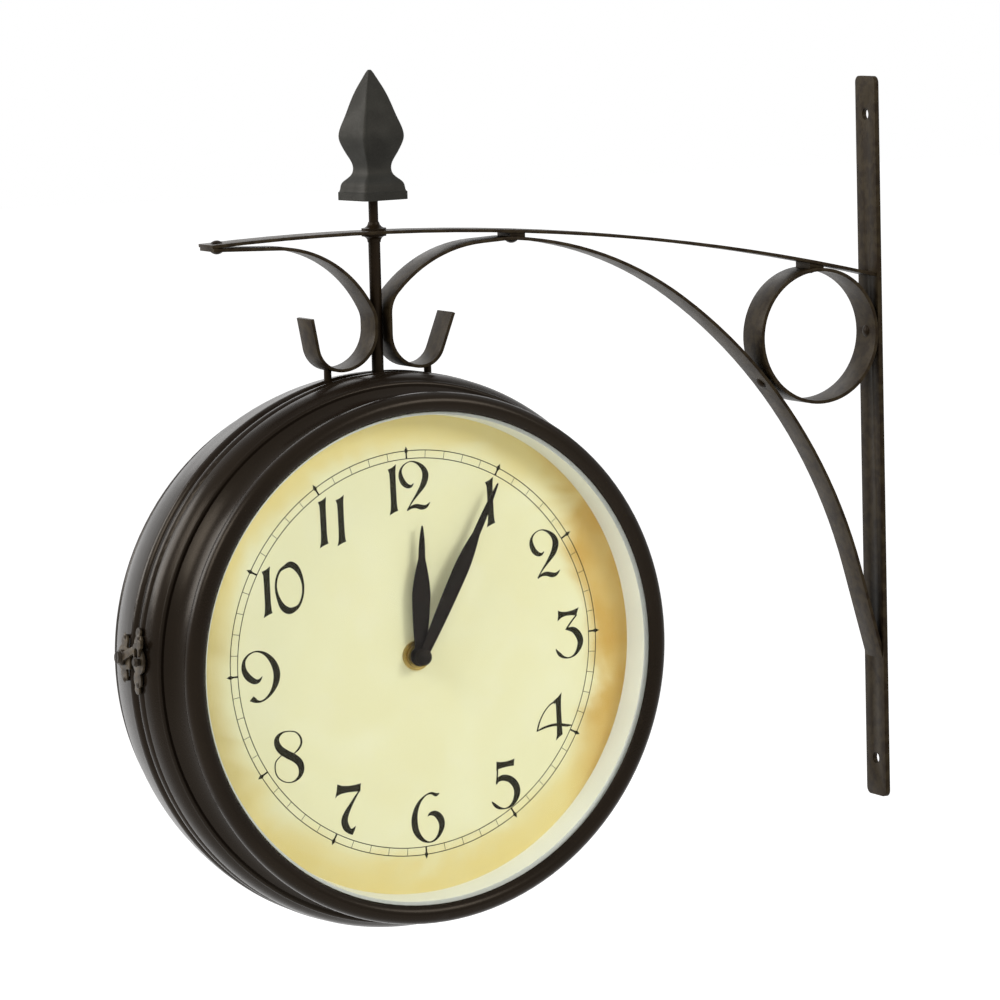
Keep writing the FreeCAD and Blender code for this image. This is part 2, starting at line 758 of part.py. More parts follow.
def domed_rivet(shank_r, head_r, head, start, grip, along, near_head=True):
    """Shank with a domed head beyond its grip, and another before its start."""
    ball_r = (head_r ** 2 + head ** 2) / (2 * head)
    seats = [(start + along * grip, along)]
    if near_head:
        seats.append((start, along * -1))
    body = rod(shank_r, start, grip, along)
    for seat, out in seats:
        ball = Part.makeSphere(ball_r, seat + out * (head - ball_r))
        body = body.fuse([ball.common(rod(ball_r, seat, head + 1, out)), rod(shank_r, seat, head / 4, out)])
    return body


def rivet(joint):
    """Round-headed rivet in the bracket's plane, its heads just clear of the straps it holds."""
    at, direction, grip, near_head = joint
    along = V(direction[0], 0, direction[1]).normalize()
    start = V(at[0], 0, at[1])
    if near_head:
        start = start - along * rivet_lift
        grip = grip + rivet_lift
    return domed_rivet(rivet_r, rivet_head_r, rivet_head, start, grip + rivet_lift, along, near_head)


def rivet_drill(joint):
    """Hole for a rivet's shank, longer than its grip at both ends."""
    at, direction, grip = joint[:3]
    along = V(direction[0], 0, direction[1]).normalize()
    return rod(rivet_r, V(at[0], 0, at[1]) - along * drill_overrun, grip + 2 * drill_overrun, along)


def reach_through(strap, at, direction):
    """How far a strap extends from a point along a direction, under a whole rivet head."""
    start = V(at[0], 0, at[1])
    along = V(direction[0], 0, direction[1]).normalize()
    patch = strap.common(rod(rivet_head_r, start, 30, along))
    return max((point - start).dot(along) for edge in patch.Edges for point in edge.discretize(9))


def strap_joints(left, arch):
    """Riveted joints: outer face where the rivet starts, its direction, its grip, a head there."""
    tip_x = top_strap_tip + tip_rivet_inset
    inside_ring = ring_r - ring_thickness
    touch = math.radians(ring_touch)
    aside = (math.cos(touch), math.sin(touch))
    down = (0, -1)
    tip = (tip_x, top_strap_z(tip_x) + strap_half)
    arch_joint = (joint_x, top_strap_z(joint_x) + strap_half)
    ring_joint = (ring_x, top_strap_z(ring_x) + strap_half)
    ring_side = (ring_x + inside_ring * aside[0], ring_z + inside_ring * aside[1])
    return [
        (tip, down, reach_through(left, tip, down), True),
        (arch_joint, down, reach_through(arch, arch_joint, down), False),
        (ring_joint, down, ring_joint[1] - ring_z - inside_ring, False),
        (ring_side, aside, reach_through(arch, ring_side, aside), True),
        ((ring_x + ring_r + bar_thickness, ring_z), (-1, 0), ring_thickness + bar_thickness, False),
    ]


def middle_height(strap, x):
    """Height of a strap's middle above a place, found by cutting it there."""
    slice_there = strap.common(block(x - 0.01, x + 0.01, -1, 1, -300, 300))
    top_piece = max(slice_there.Solids, key=lambda piece: piece.BoundBox.ZMax)
    return (top_piece.BoundBox.ZMin + top_piece.BoundBox.ZMax) / 2


def bracket_pieces():
    """Straps, ring, spacers and rivets, each in the case's own X and Z."""
    ends = [V(x, 0, top_strap_z(x)) for x in (top_strap_tip, (top_strap_tip + bar_face) / 2, bar_face + 1)]
    beyond_bar = block(bar_face, bar_face + 80, -50, 50, -250, 300)
    top = strap_along([tuple(ends)], strap_width, strap_thickness).cut(beyond_bar)
    left_path = scroll_path(left_start, left_dip, left_shoulder, left_curl)
    left = strap_along(left_path, strap_width, strap_thickness)
    back = [(there, middle, here) for here, middle, there in reversed(right_scroll_path())]
    arch = path_points(arch_start, right_dip, arch_bends)
    long_strap = strap_along(back + arch, strap_width, strap_thickness).cut(beyond_bar)
    long_strap = max(long_strap.Solids, key=lambda piece: piece.Volume)
    ring = Part.makeCylinder(ring_r, ring_width, V(ring_x, -ring_width / 2, ring_z), Y_AXIS)
    ring = ring.cut(Part.makeCylinder(ring_r - ring_thickness, ring_width + 2,
                                      V(ring_x, -ring_width / 2 - 1, ring_z), Y_AXIS))
    arch_z = middle_height(long_strap, joint_x)
    spacers = []
    for x, below, below_top in ((joint_x, long_strap, arch_z + strap_half), (ring_x, ring, ring_z + ring_r)):
        half = spacer_length / 2
        spacer = block(x - half, x + half, -spacer_width / 2, spacer_width / 2, below_top - strap_half,
                       top_strap_z(x))
        spacers.append(spacer.cut([top, below]).Solids[0])
    joints = strap_joints(left, long_strap)
    rivets = [rivet(joint) for joint in joints]
    drills = Part.makeCompound([rivet_drill(joint) for joint in joints])
    top = top.cut([rod(post_stud_r, V(0, 0, 150), 50), drills])
    spacers = [piece.cut(drills) for piece in spacers]
    return top, left.cut(drills), long_strap.cut(drills), ring.cut(drills), spacers, rivets, drills


def wall_bar(drills):
    """Upright flat bar with rounded ends and two screw holes; drills are in the case's frame."""
    bar = block(-bar_thickness, 0, -bar_width / 2, bar_width / 2, -bar_length / 2, bar_length / 2)
    corners = [e for e in bar.Edges if abs(e.tangentAt(e.FirstParameter).x) > 0.99]
    bar = bar.makeFillet(bar_corner, corners)
    for side in (-1, 1):
        bar = bar.cut(rod(screw_hole_r, V(-20, 0, side * screw_spacing / 2), 40, X_AXIS))
    return bar.cut(at_case(drills))


def post():
    """Post through the case top, with a thinner stud above its shoulder for strap and finial."""
    shoulder = top_strap_z(0) - strap_half - 0.1
    lower = rod(post_r, V(0, 0, post_foot), shoulder - post_foot)
    stud_end = finial_base + finial_thread - 0.5
    return lower.fuse(rod(post_stud_r, V(0, 0, shoulder - 1), stud_end - shoulder + 1))


def weld_collar(foot_z, rise, inner_r):
    """Ring of weld that flares from a rod out to a strap's face."""
    outer = foot_z + rise
    wire = profile_wire([
        (inner_r, foot_z),
        (collar_r, foot_z),
        (collar_r, foot_z + 0.25 * rise),
        ("arc", ((collar_r + inner_r) / 2 - 0.35, foot_z + 0.45 * rise), (inner_r + 0.3, outer)),
        (inner_r, outer)], lambda p: V(p[0], 0, p[1]))
    return Part.Face(wire).revolve(V(0, 0, 0), Z_AXIS, 360)


def post_collars():
    """Weld collars below and above the top strap."""
    below = top_strap_z(0) - strap_half - collar_gap
    above = top_strap_z(0) + strap_half + collar_gap
    return [weld_collar(below, -collar_height, post_r), weld_collar(above, collar_height, post_stud_r)]


def rounded_square(side, height):
    """Wire of a square with rounded corners, level at a height."""
    half = side / 2
    corner = 0.1 * side
    flat = half - corner
    bulge = flat + corner * math.sqrt(0.5)
    edges = []
    for k in range(4):
        turn = math.radians(90 * k)

        def spun(x, y):
            return V(x * math.cos(turn) - y * math.sin(turn), x * math.sin(turn) + y * math.cos(turn), height)

        edges.append(Part.LineSegment(spun(half, -flat), spun(half, flat)).toShape())
        edges.append(Part.Arc(spun(half, flat), spun(bulge, bulge), spun(flat, half)).toShape())
    return Part.Wire(edges)


def finial():
    """Four-sided spear: square foot, hollow neck, belly and long point."""
    foot_end, foot_share = finial_widths[0]
    foot = Part.Face(rounded_square(finial_side * foot_share, 0)).extrude(V(0, 0, foot_end))
    spear = Part.makeLoft([rounded_square(finial_side * width, z) for z, width in finial_widths], True)
    spear = spear.fuse(foot)
    spear.rotate(V(0, 0, 0), Z_AXIS, finial_turn)
    spear.translate(V(0, 0, finial_base))
    return spear.cut(rod(post_stud_r, V(0, 0, finial_base - 1), finial_thread + 1))


def stub_pins(straps):
    """Two pins from inside the case up to the undersides of the scrolls."""
    pins = []
    for side, strap in zip((-1, 1), straps):
        pin = rod(stub_r, V(side * stub_x, 0, stub_foot), stub_reach).cut(strap)
        pins.append(min(pin.Solids, key=lambda piece: piece.BoundBox.ZMin))
    return pins


def hexagon_nut(across_flats, height, bore_r, at):
    """Nut standing on a point, its bore along +Z."""
    corner_r = across_flats / math.sqrt(3)
    corners = [V(corner_r * math.cos(math.radians(60 * k)), corner_r * math.sin(math.radians(60 * k)), 0)
               for k in range(7)]
    nut = Part.Face(Part.makePolygon(corners)).extrude(V(0, 0, height))
    nut = nut.cut(rod(bore_r, V(0, 0, -1), height + 2))
    nut.translate(at)
    return nut


def mounting_nuts():
    """Nuts inside the case on the post and on the stub pins."""
    flats, height, foot = post_nut
    nuts = [hexagon_nut(flats, height, post_r, V(0, 0, foot))]
    flats, height, foot = stub_nut
    for side in (-1, 1):
        nuts.append(hexagon_nut(flats, height, stub_r, V(side * stub_x, 0, foot)))
    return nuts


# ---------------------------------------------------------------- hinge and latch
# These are built about the case's axis, with Y counted backwards from the seam.
def flange_patch(inner_r, thickness, y0, y1, height):
    """Piece of plate bent round the case's edge at 3 o'clock."""
    bent = Part.makeCylinder(inner_r + thickness, y1 - y0, V(0, y0, 0), Y_AXIS)
    bent = bent.cut(Part.makeCylinder(inner_r, y1 - y0 + 2, V(0, y0 - 1, 0), Y_AXIS))
    return bent.common(block(0, 200, y0, y1, -height / 2, height / 2))


def case_rivet(depth, degrees):
    """Small rivet through a plate and the case's edge, turned upwards from 3 o'clock."""
    head_r, head = case_rivet_head
    piece = domed_rivet(case_rivet_r, head_r, head, V(root_r, depth, 0), leaf_outer - root_r, X_AXIS, False)
    return turned_about_dial(piece, -degrees)


def hinge_leaf(side, knuckles):
    """Leaf on one half with its knuckles; side is 1 on the rear half and -1 on the front half."""
    leaf = flange_patch(leaf_r, leaf_thickness, *sorted((side * leaf_start, side * leaf_reach)), hinge_height)
    web0, web1 = sorted((side * knuckle_web[0], side * knuckle_web[1]))
    inside = Part.makeCylinder(leaf_r, 60, V(0, -30, 0), Y_AXIS)
    for z0, z1 in knuckles:
        web = block(web_root, knuckle_axis - web_reach, web0, web1, z0, z1).cut(inside)
        leaf = leaf.fuse([web, rod(knuckle_r, V(knuckle_axis, 0, z0), z1 - z0)])
    bore = hinge_pin_r + (running_gap if side < 0 else 0)
    return leaf.cut(rod(bore, V(knuckle_axis, 0, -hinge_height), 2 * hinge_height))


def hinge_pin():
    """Pin through the knuckles, capped at both ends."""
    cap_outer_r, cap_height, play = hinge_pin_cap
    half = hinge_height / 2 + play
    pin = rod(hinge_pin_r, V(knuckle_axis, 0, -half), 2 * half)
    feet = (-half - cap_height, half)
    return pin.fuse([rod(cap_outer_r, V(knuckle_axis, 0, foot), cap_height) for foot in feet])


def lobed_plate(lobes, span):
    """Ornamental latch plate: round lobes cut from a plate bent round the case's edge."""
    discs = [rod(r, V(100, y, z), 40, X_AXIS) for y, z, r in lobes]
    return flange_patch(leaf_r, leaf_thickness, *span, 60).common(discs[0].fuse(discs[1:]))


def latch_hook():
    """Swing hook: pivot eye, arm, a nose open below for the peg, and a finger tab."""
    reach = latch_pivot_depth + latch_keeper_depth
    nose_z, nose_r = hook_nose
    eye_top, nose_top, nose_bottom, eye_bottom = hook_arm
    tab_reach, tab_z, tab_r = hook_tab
    inner = hook_inner
    arm = Part.makePolygon([V(inner, 0, eye_top), V(inner, -reach, nose_top), V(inner, -reach, nose_bottom),
                            V(inner, 0, eye_bottom), V(inner, 0, eye_top)])
    hook = Part.Face(arm).extrude(V(hook_thickness, 0, 0))
    discs = ((0, 0, hook_eye_r), (-reach, nose_z, nose_r), (-reach - tab_reach, tab_z, tab_r))
    hook = hook.fuse([rod(r, V(inner, y, z), hook_thickness, X_AXIS) for y, z, r in discs]).removeSplitter()
    notch_r = peg_r + peg_play
    below, above = inner - 3, inner + 7
    notch = rod(notch_r, V(below, -reach, 0), above - below, X_AXIS)
    notch = notch.fuse(block(below, above, -reach - notch_r, -reach + notch_r, -8, 0))
    eye = rod(pivot_screw_r + running_gap, V(below, 0, 0), above - below, X_AXIS)
    hook = hook.cut([notch, eye])
    hook.rotate(V(0, 0, 0), X_AXIS, -latch_lift)
    hook.translate(V(0, latch_pivot_depth, 0))
    return hook


head_at = hook_inner + hook_thickness + head_play       # where the heads over the hook begin


def headed_pin(radius, head, depth):
    """Pin from inside the case's edge with a tapered head over the hook."""
    wide_r, narrow_r, height = head
    pin = rod(radius, V(root_r, depth, 0), head_at - root_r, X_AXIS)
    return pin.fuse(Part.makeCone(wide_r, narrow_r, height, V(head_at, depth, 0), X_AXIS))


def latch_pivot():
    """Pivot screw with a slotted head."""
    width, sunk = pivot_slot
    screw = headed_pin(pivot_screw_r, pivot_head, latch_pivot_depth)
    floor = head_at + pivot_head[2] - sunk
    side = latch_pivot_depth - width / 2
    return screw.cut(block(floor, floor + 3, side, side + width, -4, 4))


def keeper_peg():
    """Peg with a small head that the hook drops over."""
    return headed_pin(peg_r, peg_head, -latch_keeper_depth)


def at_nine(shape):
    """Take a piece from 3 o'clock to just above 9 o'clock, and to the case."""
    flipped = turned_about_dial(shape.mirror(V(0, 0, 0), X_AXIS), latch_turn)
    flipped.translate(case_centre)
    return flipped


def at_three(shape):
    """Take a piece to 3 o'clock on the case."""
    placed = shape.copy()
    placed.translate(case_centre)
    return placed


# ---------------------------------------------------------------- make every piece
os.makedirs("parts", exist_ok=True)

top_strap, left_scroll, scroll_arch, corner_ring, strap_spacers, strap_rivets, drills = bracket_pieces()
save("wall_bar", wall_bar(drills))
save("top_strap", at_case(top_strap))
save("left_scroll", at_case(left_scroll))
save("scroll_arch", at_case(scroll_arch))
save("corner_ring", at_case(corner_ring))
save("strap_spacers", [at_case(piece) for piece in strap_spacers])
save("strap_rivets", [at_case(r) for r in strap_rivets])
save("post", at_case(post()))
save("post_collars", [at_case(c) for c in post_collars()])
save("finial", at_case(finial()))
save("stub_pins", [at_case(p) for p in stub_pins((left_scroll, scroll_arch))])
save("mounting_nuts", [at_case(n) for n in mounting_nuts()])

def case_rivets(side, latch_rivet):
    """Rivets of a half: two through its hinge leaf and two through its latch plate."""
    depth, turn = latch_rivet
    hinge_rivets = [at_three(case_rivet(side * rolled_edge_depth, angle)) for angle in hinge_rivet_turns]
    return hinge_rivets + [at_nine(case_rivet(depth, angle)) for angle in (turn, -turn)]


rear_rivets = case_rivets(1, rear_latch_rivet)
front_rivets = case_rivets(-1, front_latch_rivet)
pivot = at_nine(latch_pivot())
peg = at_nine(keeper_peg())
save("rear_case_rivets", rear_rivets)
save("front_case_rivets", front_rivets)
save("hinge_leaf_rear", at_three(hinge_leaf(1, rear_knuckles)).cut(rear_rivets))
save("hinge_leaf_front", at_three(hinge_leaf(-1, front_knuckles)).cut(front_rivets))
save("hinge_pin", at_three(hinge_pin()))
save("latch_plate", at_nine(lobed_plate(rear_lobes, lobes_rear_span)).cut(rear_rivets + [pivot]))
save("latch_keeper_plate", at_nine(lobed_plate(front_lobes, lobes_front_span)).cut(front_rivets + [peg]))
save("latch_keeper_peg", peg)
save("latch_pivot", pivot)
save("latch_hook", at_nine(latch_hook()))

shells = {"front": on_side(front_shell(), "front"),
          "rear": on_side(rear_shell().fuse(register_lip()), "rear")}
shells["front"] = shells["front"].cut(front_rivets + [peg])
bracket_holes = [at_case(rod(post_r + 0.05, V(0, 0, 100), 30))]
bracket_holes += [at_case(rod(stub_r + 0.05, V(side * stub_x, 0, 100), 30)) for side in (-1, 1)]
shells["rear"] = shells["rear"].cut(rear_rivets + [pivot] + bracket_holes)

clock_pieces = {
    "glass": glass, "spacer_ring": spacer_ring, "dial_plate": dial_plate,
    "snap_ring": snap_ring, "hour_hand": hour_hand, "minute_hand": minute_hand, "hand_nut": hand_nut,
    "shaft_nut": shaft_nut, "movement_gasket": movement_gasket, "movement_case": movement_case,
    "movement_cover": movement_cover, "minute_wheel": minute_wheel, "motion_wheel": motion_wheel,
    "hour_wheel": hour_wheel, "setting_knob": setting_knob, "battery": battery,
    "battery_contacts": battery_contacts,
}
for side in ("front", "rear"):
    save(side + "_case_shell", shells[side])
    save(side + "_bezel", on_side(bezel(front_bead if side == "front" else rear_bead), side))
    for name, make in clock_pieces.items():
        made = make()
        pieces = made if isinstance(made, list) else [made]
        save(side + "_" + name, [on_side(piece, side) for piece in pieces])
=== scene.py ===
import math

import bmesh
import bpy
from mathutils import Matrix, Vector


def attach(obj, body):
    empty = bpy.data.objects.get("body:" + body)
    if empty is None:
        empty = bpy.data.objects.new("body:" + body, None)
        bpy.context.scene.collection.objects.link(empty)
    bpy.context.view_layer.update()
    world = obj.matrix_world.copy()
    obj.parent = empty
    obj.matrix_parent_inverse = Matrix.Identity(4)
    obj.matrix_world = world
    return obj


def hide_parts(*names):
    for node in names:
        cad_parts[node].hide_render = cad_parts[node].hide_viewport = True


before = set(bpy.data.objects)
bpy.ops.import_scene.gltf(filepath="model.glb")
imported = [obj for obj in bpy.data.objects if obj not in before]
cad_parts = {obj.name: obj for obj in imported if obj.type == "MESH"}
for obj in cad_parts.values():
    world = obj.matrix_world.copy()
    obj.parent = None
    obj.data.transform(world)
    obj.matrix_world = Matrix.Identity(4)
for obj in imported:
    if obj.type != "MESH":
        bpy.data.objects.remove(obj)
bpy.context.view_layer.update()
MM = 0.001

# ------------------------------------------------------------------ places of the clock's own parts
case_axis = Vector((-0.2434, 0.0, -0.071))      # the dials share this axis, along Y
print_centre = Vector((-0.24328, 0.0, -0.07033))  # the front print sits slightly off the axis
front_print_turn = 1.45                         # degrees, anticlockwise as it is read
front_dial_face = -0.028                        # Y of the two printed faces
rear_dial_face = 0.020
print_lift = 0.03 * MM                          # ink stands this far off the enamel

# Minute track, in mm on the dial
track_outer_r = 85.0
track_gap = 3.3
track_line = 0.36
minute_tick = 0.22
diamond_length = 3.8
diamond_width = 1.75
hour_bar = 0.75                                 # thicker tick between the lines at each hour
minutes_round = 60
hours_round = 12
circle_pieces = 240                             # straight pieces in each of the two circles
ink_layer = 0.004                               # where strokes cross, one lies this far above the other

# Plain numerals, in mm from each numeral's middle; a stroke's points are (x, y, width)
numeral_shapes = {
    "1": [
        ("shape", [(-1.82, 8.55), (0.18, 9.18), (2.09, 10.45), (1.73, 7.73), (1.64, 4.09), (1.64, -5),
            (1.82, -7.91), (2.18, -8.91), (0.18, -9.55), (-2, -10.55), (-1.36, -8.45), (-1.09, -5),
            (-1.09, 4.09), (-1.18, 7)]),
    ],
    "2": [
        ("stroke", [(-0.27, 1, 0.27), (-1.55, 0, 1.18), (-3.27, 0.27, 2), (-5, 1.82, 2.36),
            (-6.09, 4.55, 2), (-5.91, 7.09, 1.09), (-4.18, 9.27, 0.55), (-1.18, 10.27, 0.45),
            (1.91, 9.27, 1.09), (4.45, 6.91, 2.18), (5.36, 3.91, 2.91), (4.18, 0.27, 2.55),
            (1.55, -3.18, 1.45), (-1.36, -6.55, 0.73), (-3.91, -10, 0.45)]),
        ("stroke", [(-3.73, -10.18, 0.27), (-2.09, -8.91, 1.18), (0.45, -8.55, 1.82), (3, -9.27, 2.09),
            (5.09, -9.09, 1.36), (6.91, -7.55, 0.27)]),
    ],
    "3": [
        ("shape", [(-5, 10.45), (-3.45, 9.73), (-0.73, 9.45), (2.18, 9.82), (5.09, 10.73),
            (4.36, 9.18), (3.64, 7.36), (1.55, 7.73), (-1.18, 7.82), (-3.45, 7.27), (-5.45, 5.82),
            (-5, 8.09)]),
        ("stroke", [(4, 7.73, 0.55), (2.18, 6.09, 0.73), (0.18, 3.91, 0.73), (-1.36, 2, 0.91)]),
        ("stroke", [(-1.82, 2, 0.36), (-0.18, 2, 1.45), (2.18, 1.36, 2.55), (4.18, -0.82, 3),
            (5.09, -3.73, 2.82), (4.09, -6.82, 2), (2, -9.27, 1), (-0.73, -10.18, 0.55),
            (-3.27, -9.64, 1.09), (-5.09, -8.27, 1.55), (-6.45, -6.45, 0.73), (-6.73, -5.73, 0.27)]),
    ],
    "4": [
        ("shape", [(0.18, 7), (2.45, 8.45), (4.27, 10.27), (3.82, 7.27), (3.64, 3.18), (3.73, -4.09),
            (3.82, -7.73), (2.18, -8.64), (0.45, -10.09), (1.09, -7.73), (1.27, -3.18), (1.27, 3.18),
            (1.18, 6.09), (0.36, 5.55)]),
        ("stroke", [(0.91, 6.64, 0.73), (-1.64, 5.55, 0.55), (-4.55, 2.73, 0.55), (-6.91, -1.18, 0.64),
            (-8.18, -4.82, 0.73)]),
        ("stroke", [(-8.55, -5.09, 0.27), (-6.18, -4.18, 0.82), (-3, -3.45, 1), (0.18, -3.18, 1.18),
            (3.36, -3.55, 1.27), (6.36, -4.18, 1.09), (8.36, -4.27, 0.36)]),
    ],
    "5": [
        ("shape", [(-3.91, 10.36), (-2.27, 9.91), (0.45, 9.82), (2.73, 10.09), (4.73, 10.55),
            (4.36, 9.09), (4.27, 7.64), (2.27, 7.64), (-0.45, 7.45), (-3.09, 7), (-4.18, 6.45),
            (-4, 8.45)]),
        ("stroke", [(-3.55, 7.27, 0.73), (-3.82, 4.36, 0.73), (-4.27, 0.91, 0.73)]),
        ("stroke", [(-4.45, 0.64, 0.45), (-3.45, 2.45, 1.82), (-0.91, 3.09, 2.55), (2.36, 1.91, 2.91),
            (4.73, -0.91, 3.09), (5.18, -4.18, 2.91), (3.82, -7.45, 2), (1.64, -9.45, 1.09),
            (-0.91, -10.09, 0.55), (-3.45, -9.55, 1.18), (-5.27, -8.36, 1.45), (-6.64, -6.82, 0.73),
            (-6.91, -6.36, 0.27)]),
    ],
    "6": [
        ("stroke", [(-0.09, 0.73, 0.27), (1.27, 1.64, 1.45), (3.64, 1.36, 2.55), (5.64, -0.73, 3.09),
            (6.36, -3.55, 2.73), (5.36, -6.82, 1.82), (3.09, -9.45, 1), (0.09, -10.27, 0.64),
            (-3.09, -8.73, 1.64), (-5.64, -5.18, 2.73), (-6.36, -0.64, 2.91), (-5.45, 3.91, 2.18),
            (-3.27, 7.55, 1.27), (-0.36, 9.82, 0.64), (2.18, 10.27, 1), (4.18, 9.36, 1.45),
            (5.91, 9.82, 0.27)]),
    ],
    "7": [
        ("shape", [(-4.82, 11), (-2.82, 10.09), (0.36, 9.64), (3.55, 9.73), (6.09, 10.09),
            (5.73, 8.27), (5.64, 6.64), (3.09, 6.91), (-0.09, 7), (-3.27, 6.73), (-5.09, 6.09),
            (-6.18, 5.09), (-5.27, 8.18)]),
        ("stroke", [(5.27, 7.18, 0.55), (3.45, 5, 0.91), (1.09, 1.82, 1.45), (-1.18, -1.55, 2.36),
            (-2.36, -4.55, 3), (-1.82, -7.36, 3.09), (-0.27, -9.36, 2.27), (0.91, -10.55, 1.09)]),
        ("shape", [(-1.27, -8.27), (0.82, -8.45), (2.82, -7.45), (2, -9.36), (1, -11.09),
            (-0.55, -10.45)]),
    ],
    "8": [
        ("stroke", [(0.64, 10.73, 0.45), (-2, 10.55, 0.73), (-4.36, 9.09, 1.64), (-5.09, 6.73, 2.55),
            (-3.73, 3.64, 3.09), (-0.73, 1.27, 3.27), (2.55, -0.73, 3.27), (4.82, -3.09, 3.09),
            (5.45, -6, 2.55), (4.18, -8.91, 1.45), (1.09, -10.55, 0.55), (-2.55, -10, 0.45),
            (-5.45, -7.64, 0.55), (-6.45, -4.36, 0.55), (-5.82, -1.09, 0.55), (-3.27, 1.09, 0.45)]),
        ("stroke", [(0.64, 10.73, 0.45), (3.64, 10, 0.55), (5.64, 7.82, 0.82), (6, 5.09, 0.91),
            (4.55, 2.73, 0.82), (2.55, 1.27, 0.45)]),
    ],
    "9": [
        ("stroke", [(0.55, 0.09, 0.27), (-1.09, -1.55, 1.45), (-3.36, -1.45, 2.45),
            (-6.09, 0.82, 2.82), (-7.55, 4, 2.18), (-7.18, 7.36, 1.27), (-4.82, 9.82, 0.73),
            (-1.36, 10.64, 0.64), (2.45, 9.18, 1.45), (5.55, 5.73, 2.55), (7.09, 1.45, 3.09),
            (6.64, -2.73, 2.73), (4.64, -6.55, 1.64), (1.82, -9.18, 0.91), (-0.91, -10.18, 0.82),
            (-3.36, -9.64, 1.55), (-5.55, -9.36, 0.36)]),
        ("shape", [(-5.73, -9.45), (-4.45, -8.18), (-3.82, -7.64), (-2.45, -8.91), (-3, -10.36)]),
    ],
    "0": [
        ("stroke", [(-1.55, 8.73, 1.64), (0.91, 9.45, 2.55), (3.45, 7.82, 2.55), (5.36, 4.36, 1.64),
            (6.18, 0.18, 1.09), (5.73, -4, 1), (4.09, -7.55, 1.18), (1.91, -9.09, 2),
            (-0.73, -9.55, 2.82), (-3.36, -7.82, 2.64), (-5.18, -4.18, 1.64), (-6.09, 0, 1.09),
            (-5.64, 4, 1), (-4, 7.27, 1.09), (-1.55, 8.73, 1.64)]),
    ],
}
numeral_places = [
    ("1", 37.75, 59.73),
    ("2", 62.55, 35.2),
    ("3", 72.5, 0),
    ("4", 63.19, -34.75),
    ("5", 38.84, -60.46),
    ("6", 1.55, -69.77),
    ("7", -34.66, -61.1),
    ("8", -60.83, -35.93),
    ("9", -71.32, -1.18),
    ("1", -66.73, 33.39), ("0", -56.37, 34.11),
    ("1", -39.75, 59.28), ("1", -31.66, 59.28),
    ("1", -7.09, 69.5), ("2", 3, 70.14),
]
stroke_steps = 7                                # pieces between two points of a stroke
least_stroke = 0.1                              # mm, the thinnest that a stroke gets

# Rolled edges of straps and plates, widths in mm
strap_edge = 0.35
plate_edge = 0.12
edge_steps = 3
edge_angle = math.radians(35)                   # corners sharper than this are rolled over
flat_angle = math.radians(0.5)                  # facets closer to flat than this are joined
shading_angle = math.radians(40)
merge_gap = 0.002 * MM

# Ageing of the enamel, and painted shade on the left rim: where each stain and the shade begin and are full,
# in metres from the dial's middle
rim_yellow = (0.079, 0.095)
right_stain = (0.06, 0.084)
right_stain_rim = (0.079, 0.094)
# painted shade: the left rim of each dial is darkened towards brown
left_painted_shade = (0.074, 0.096)
stain_wander = 0.045                            # how far clouds push the stains in and out
side_wander = 1.6                               # the same for the right stain, as a share
stain_lean = (0.99, 0.1)                        # the right stain's direction: right and up
print_side = 0.2 * MM                           # deeper than this behind the face, the plate is plain

# Studio, in metres
surroundings_light = 0.57                       # what the white surroundings give to the object
floor_z = -0.62
floor_glow = 0.64
floor_grey = 0.8
light_aim = Vector((-0.2, 0.0, -0.02))
camera_azimuth = 27.569                         # degrees to the left of the front dial's axis
camera_elevation = 6.761
camera_roll = -1.4756
camera_place = (-1.16292, -1.86847, 0.23692)
camera_sensor = 36.0                            # mm
camera_lens = 180.0
camera_far = 50.0


# ------------------------------------------------------------------ small helpers
def tone(red, green, blue, alpha=1.0):
    """Display colour, 0 to 255, as the linear value a shader takes."""
    def linear(c):
        c /= 255.0
        return c / 12.92 if c <= 0.04045 else ((c + 0.055) / 1.055) ** 2.4
    return linear(red), linear(green), linear(blue), alpha


def add(tree, kind, inputs=None, **settings):
    """New node with its settings; inputs are values or sockets by name or number."""
    node = tree.nodes.new(kind)
    for key, value in settings.items():
        setattr(node, key, value)
    for key, value in (inputs or {}).items():
        if isinstance(value, bpy.types.NodeSocket):
            tree.links.new(value, node.inputs[key])
        else:
            node.inputs[key].default_value = value
    return node


def new_group(name, inputs, outputs, kind="ShaderNodeTree"):
    """Empty node group with named sockets; returns its tree, group input and group output."""
    tree = bpy.data.node_groups.new(name, kind)
    for socket, socket_type, default in inputs:
        made = tree.interface.new_socket(name=socket, in_out="INPUT", socket_type=socket_type)
        if default is not None:
            made.default_value = default
    for socket, socket_type in outputs:
        tree.interface.new_socket(name=socket, in_out="OUTPUT", socket_type=socket_type)
    return tree, tree.nodes.new("NodeGroupInput"), tree.nodes.new("NodeGroupOutput")


def use(tree, group, **inputs):
    """A shared group placed in a material, with this material's own values."""
    node = tree.nodes.new("ShaderNodeGroup")
    node.node_tree = group
    for key, value in inputs.items():
        name = key.replace("_", " ")
        if isinstance(value, bpy.types.NodeSocket):
            tree.links.new(value, node.inputs[name])
        else:
            node.inputs[name].default_value = value
    return node


def blank_material(name):
    """Material with one Principled shader; returns it, its tree and the shader."""
    made = bpy.data.materials.new(name)
    made.use_nodes = True
    tree = made.node_tree
    tree.nodes.clear()
    shader = add(tree, "ShaderNodeBsdfPrincipled")
    add(tree, "ShaderNodeOutputMaterial", {"Surface": shader.outputs[0]})
    return made, tree, shader


def here(tree, centre=(0, 0, 0)):
    """Object coordinates measured from a point of the clock."""
    place = add(tree, "ShaderNodeTexCoord").outputs["Object"]
    shift = {"Location": tuple(-c for c in centre)}
    return add(tree, "ShaderNodeMapping", {"Vector": place, **shift}).outputs[0]


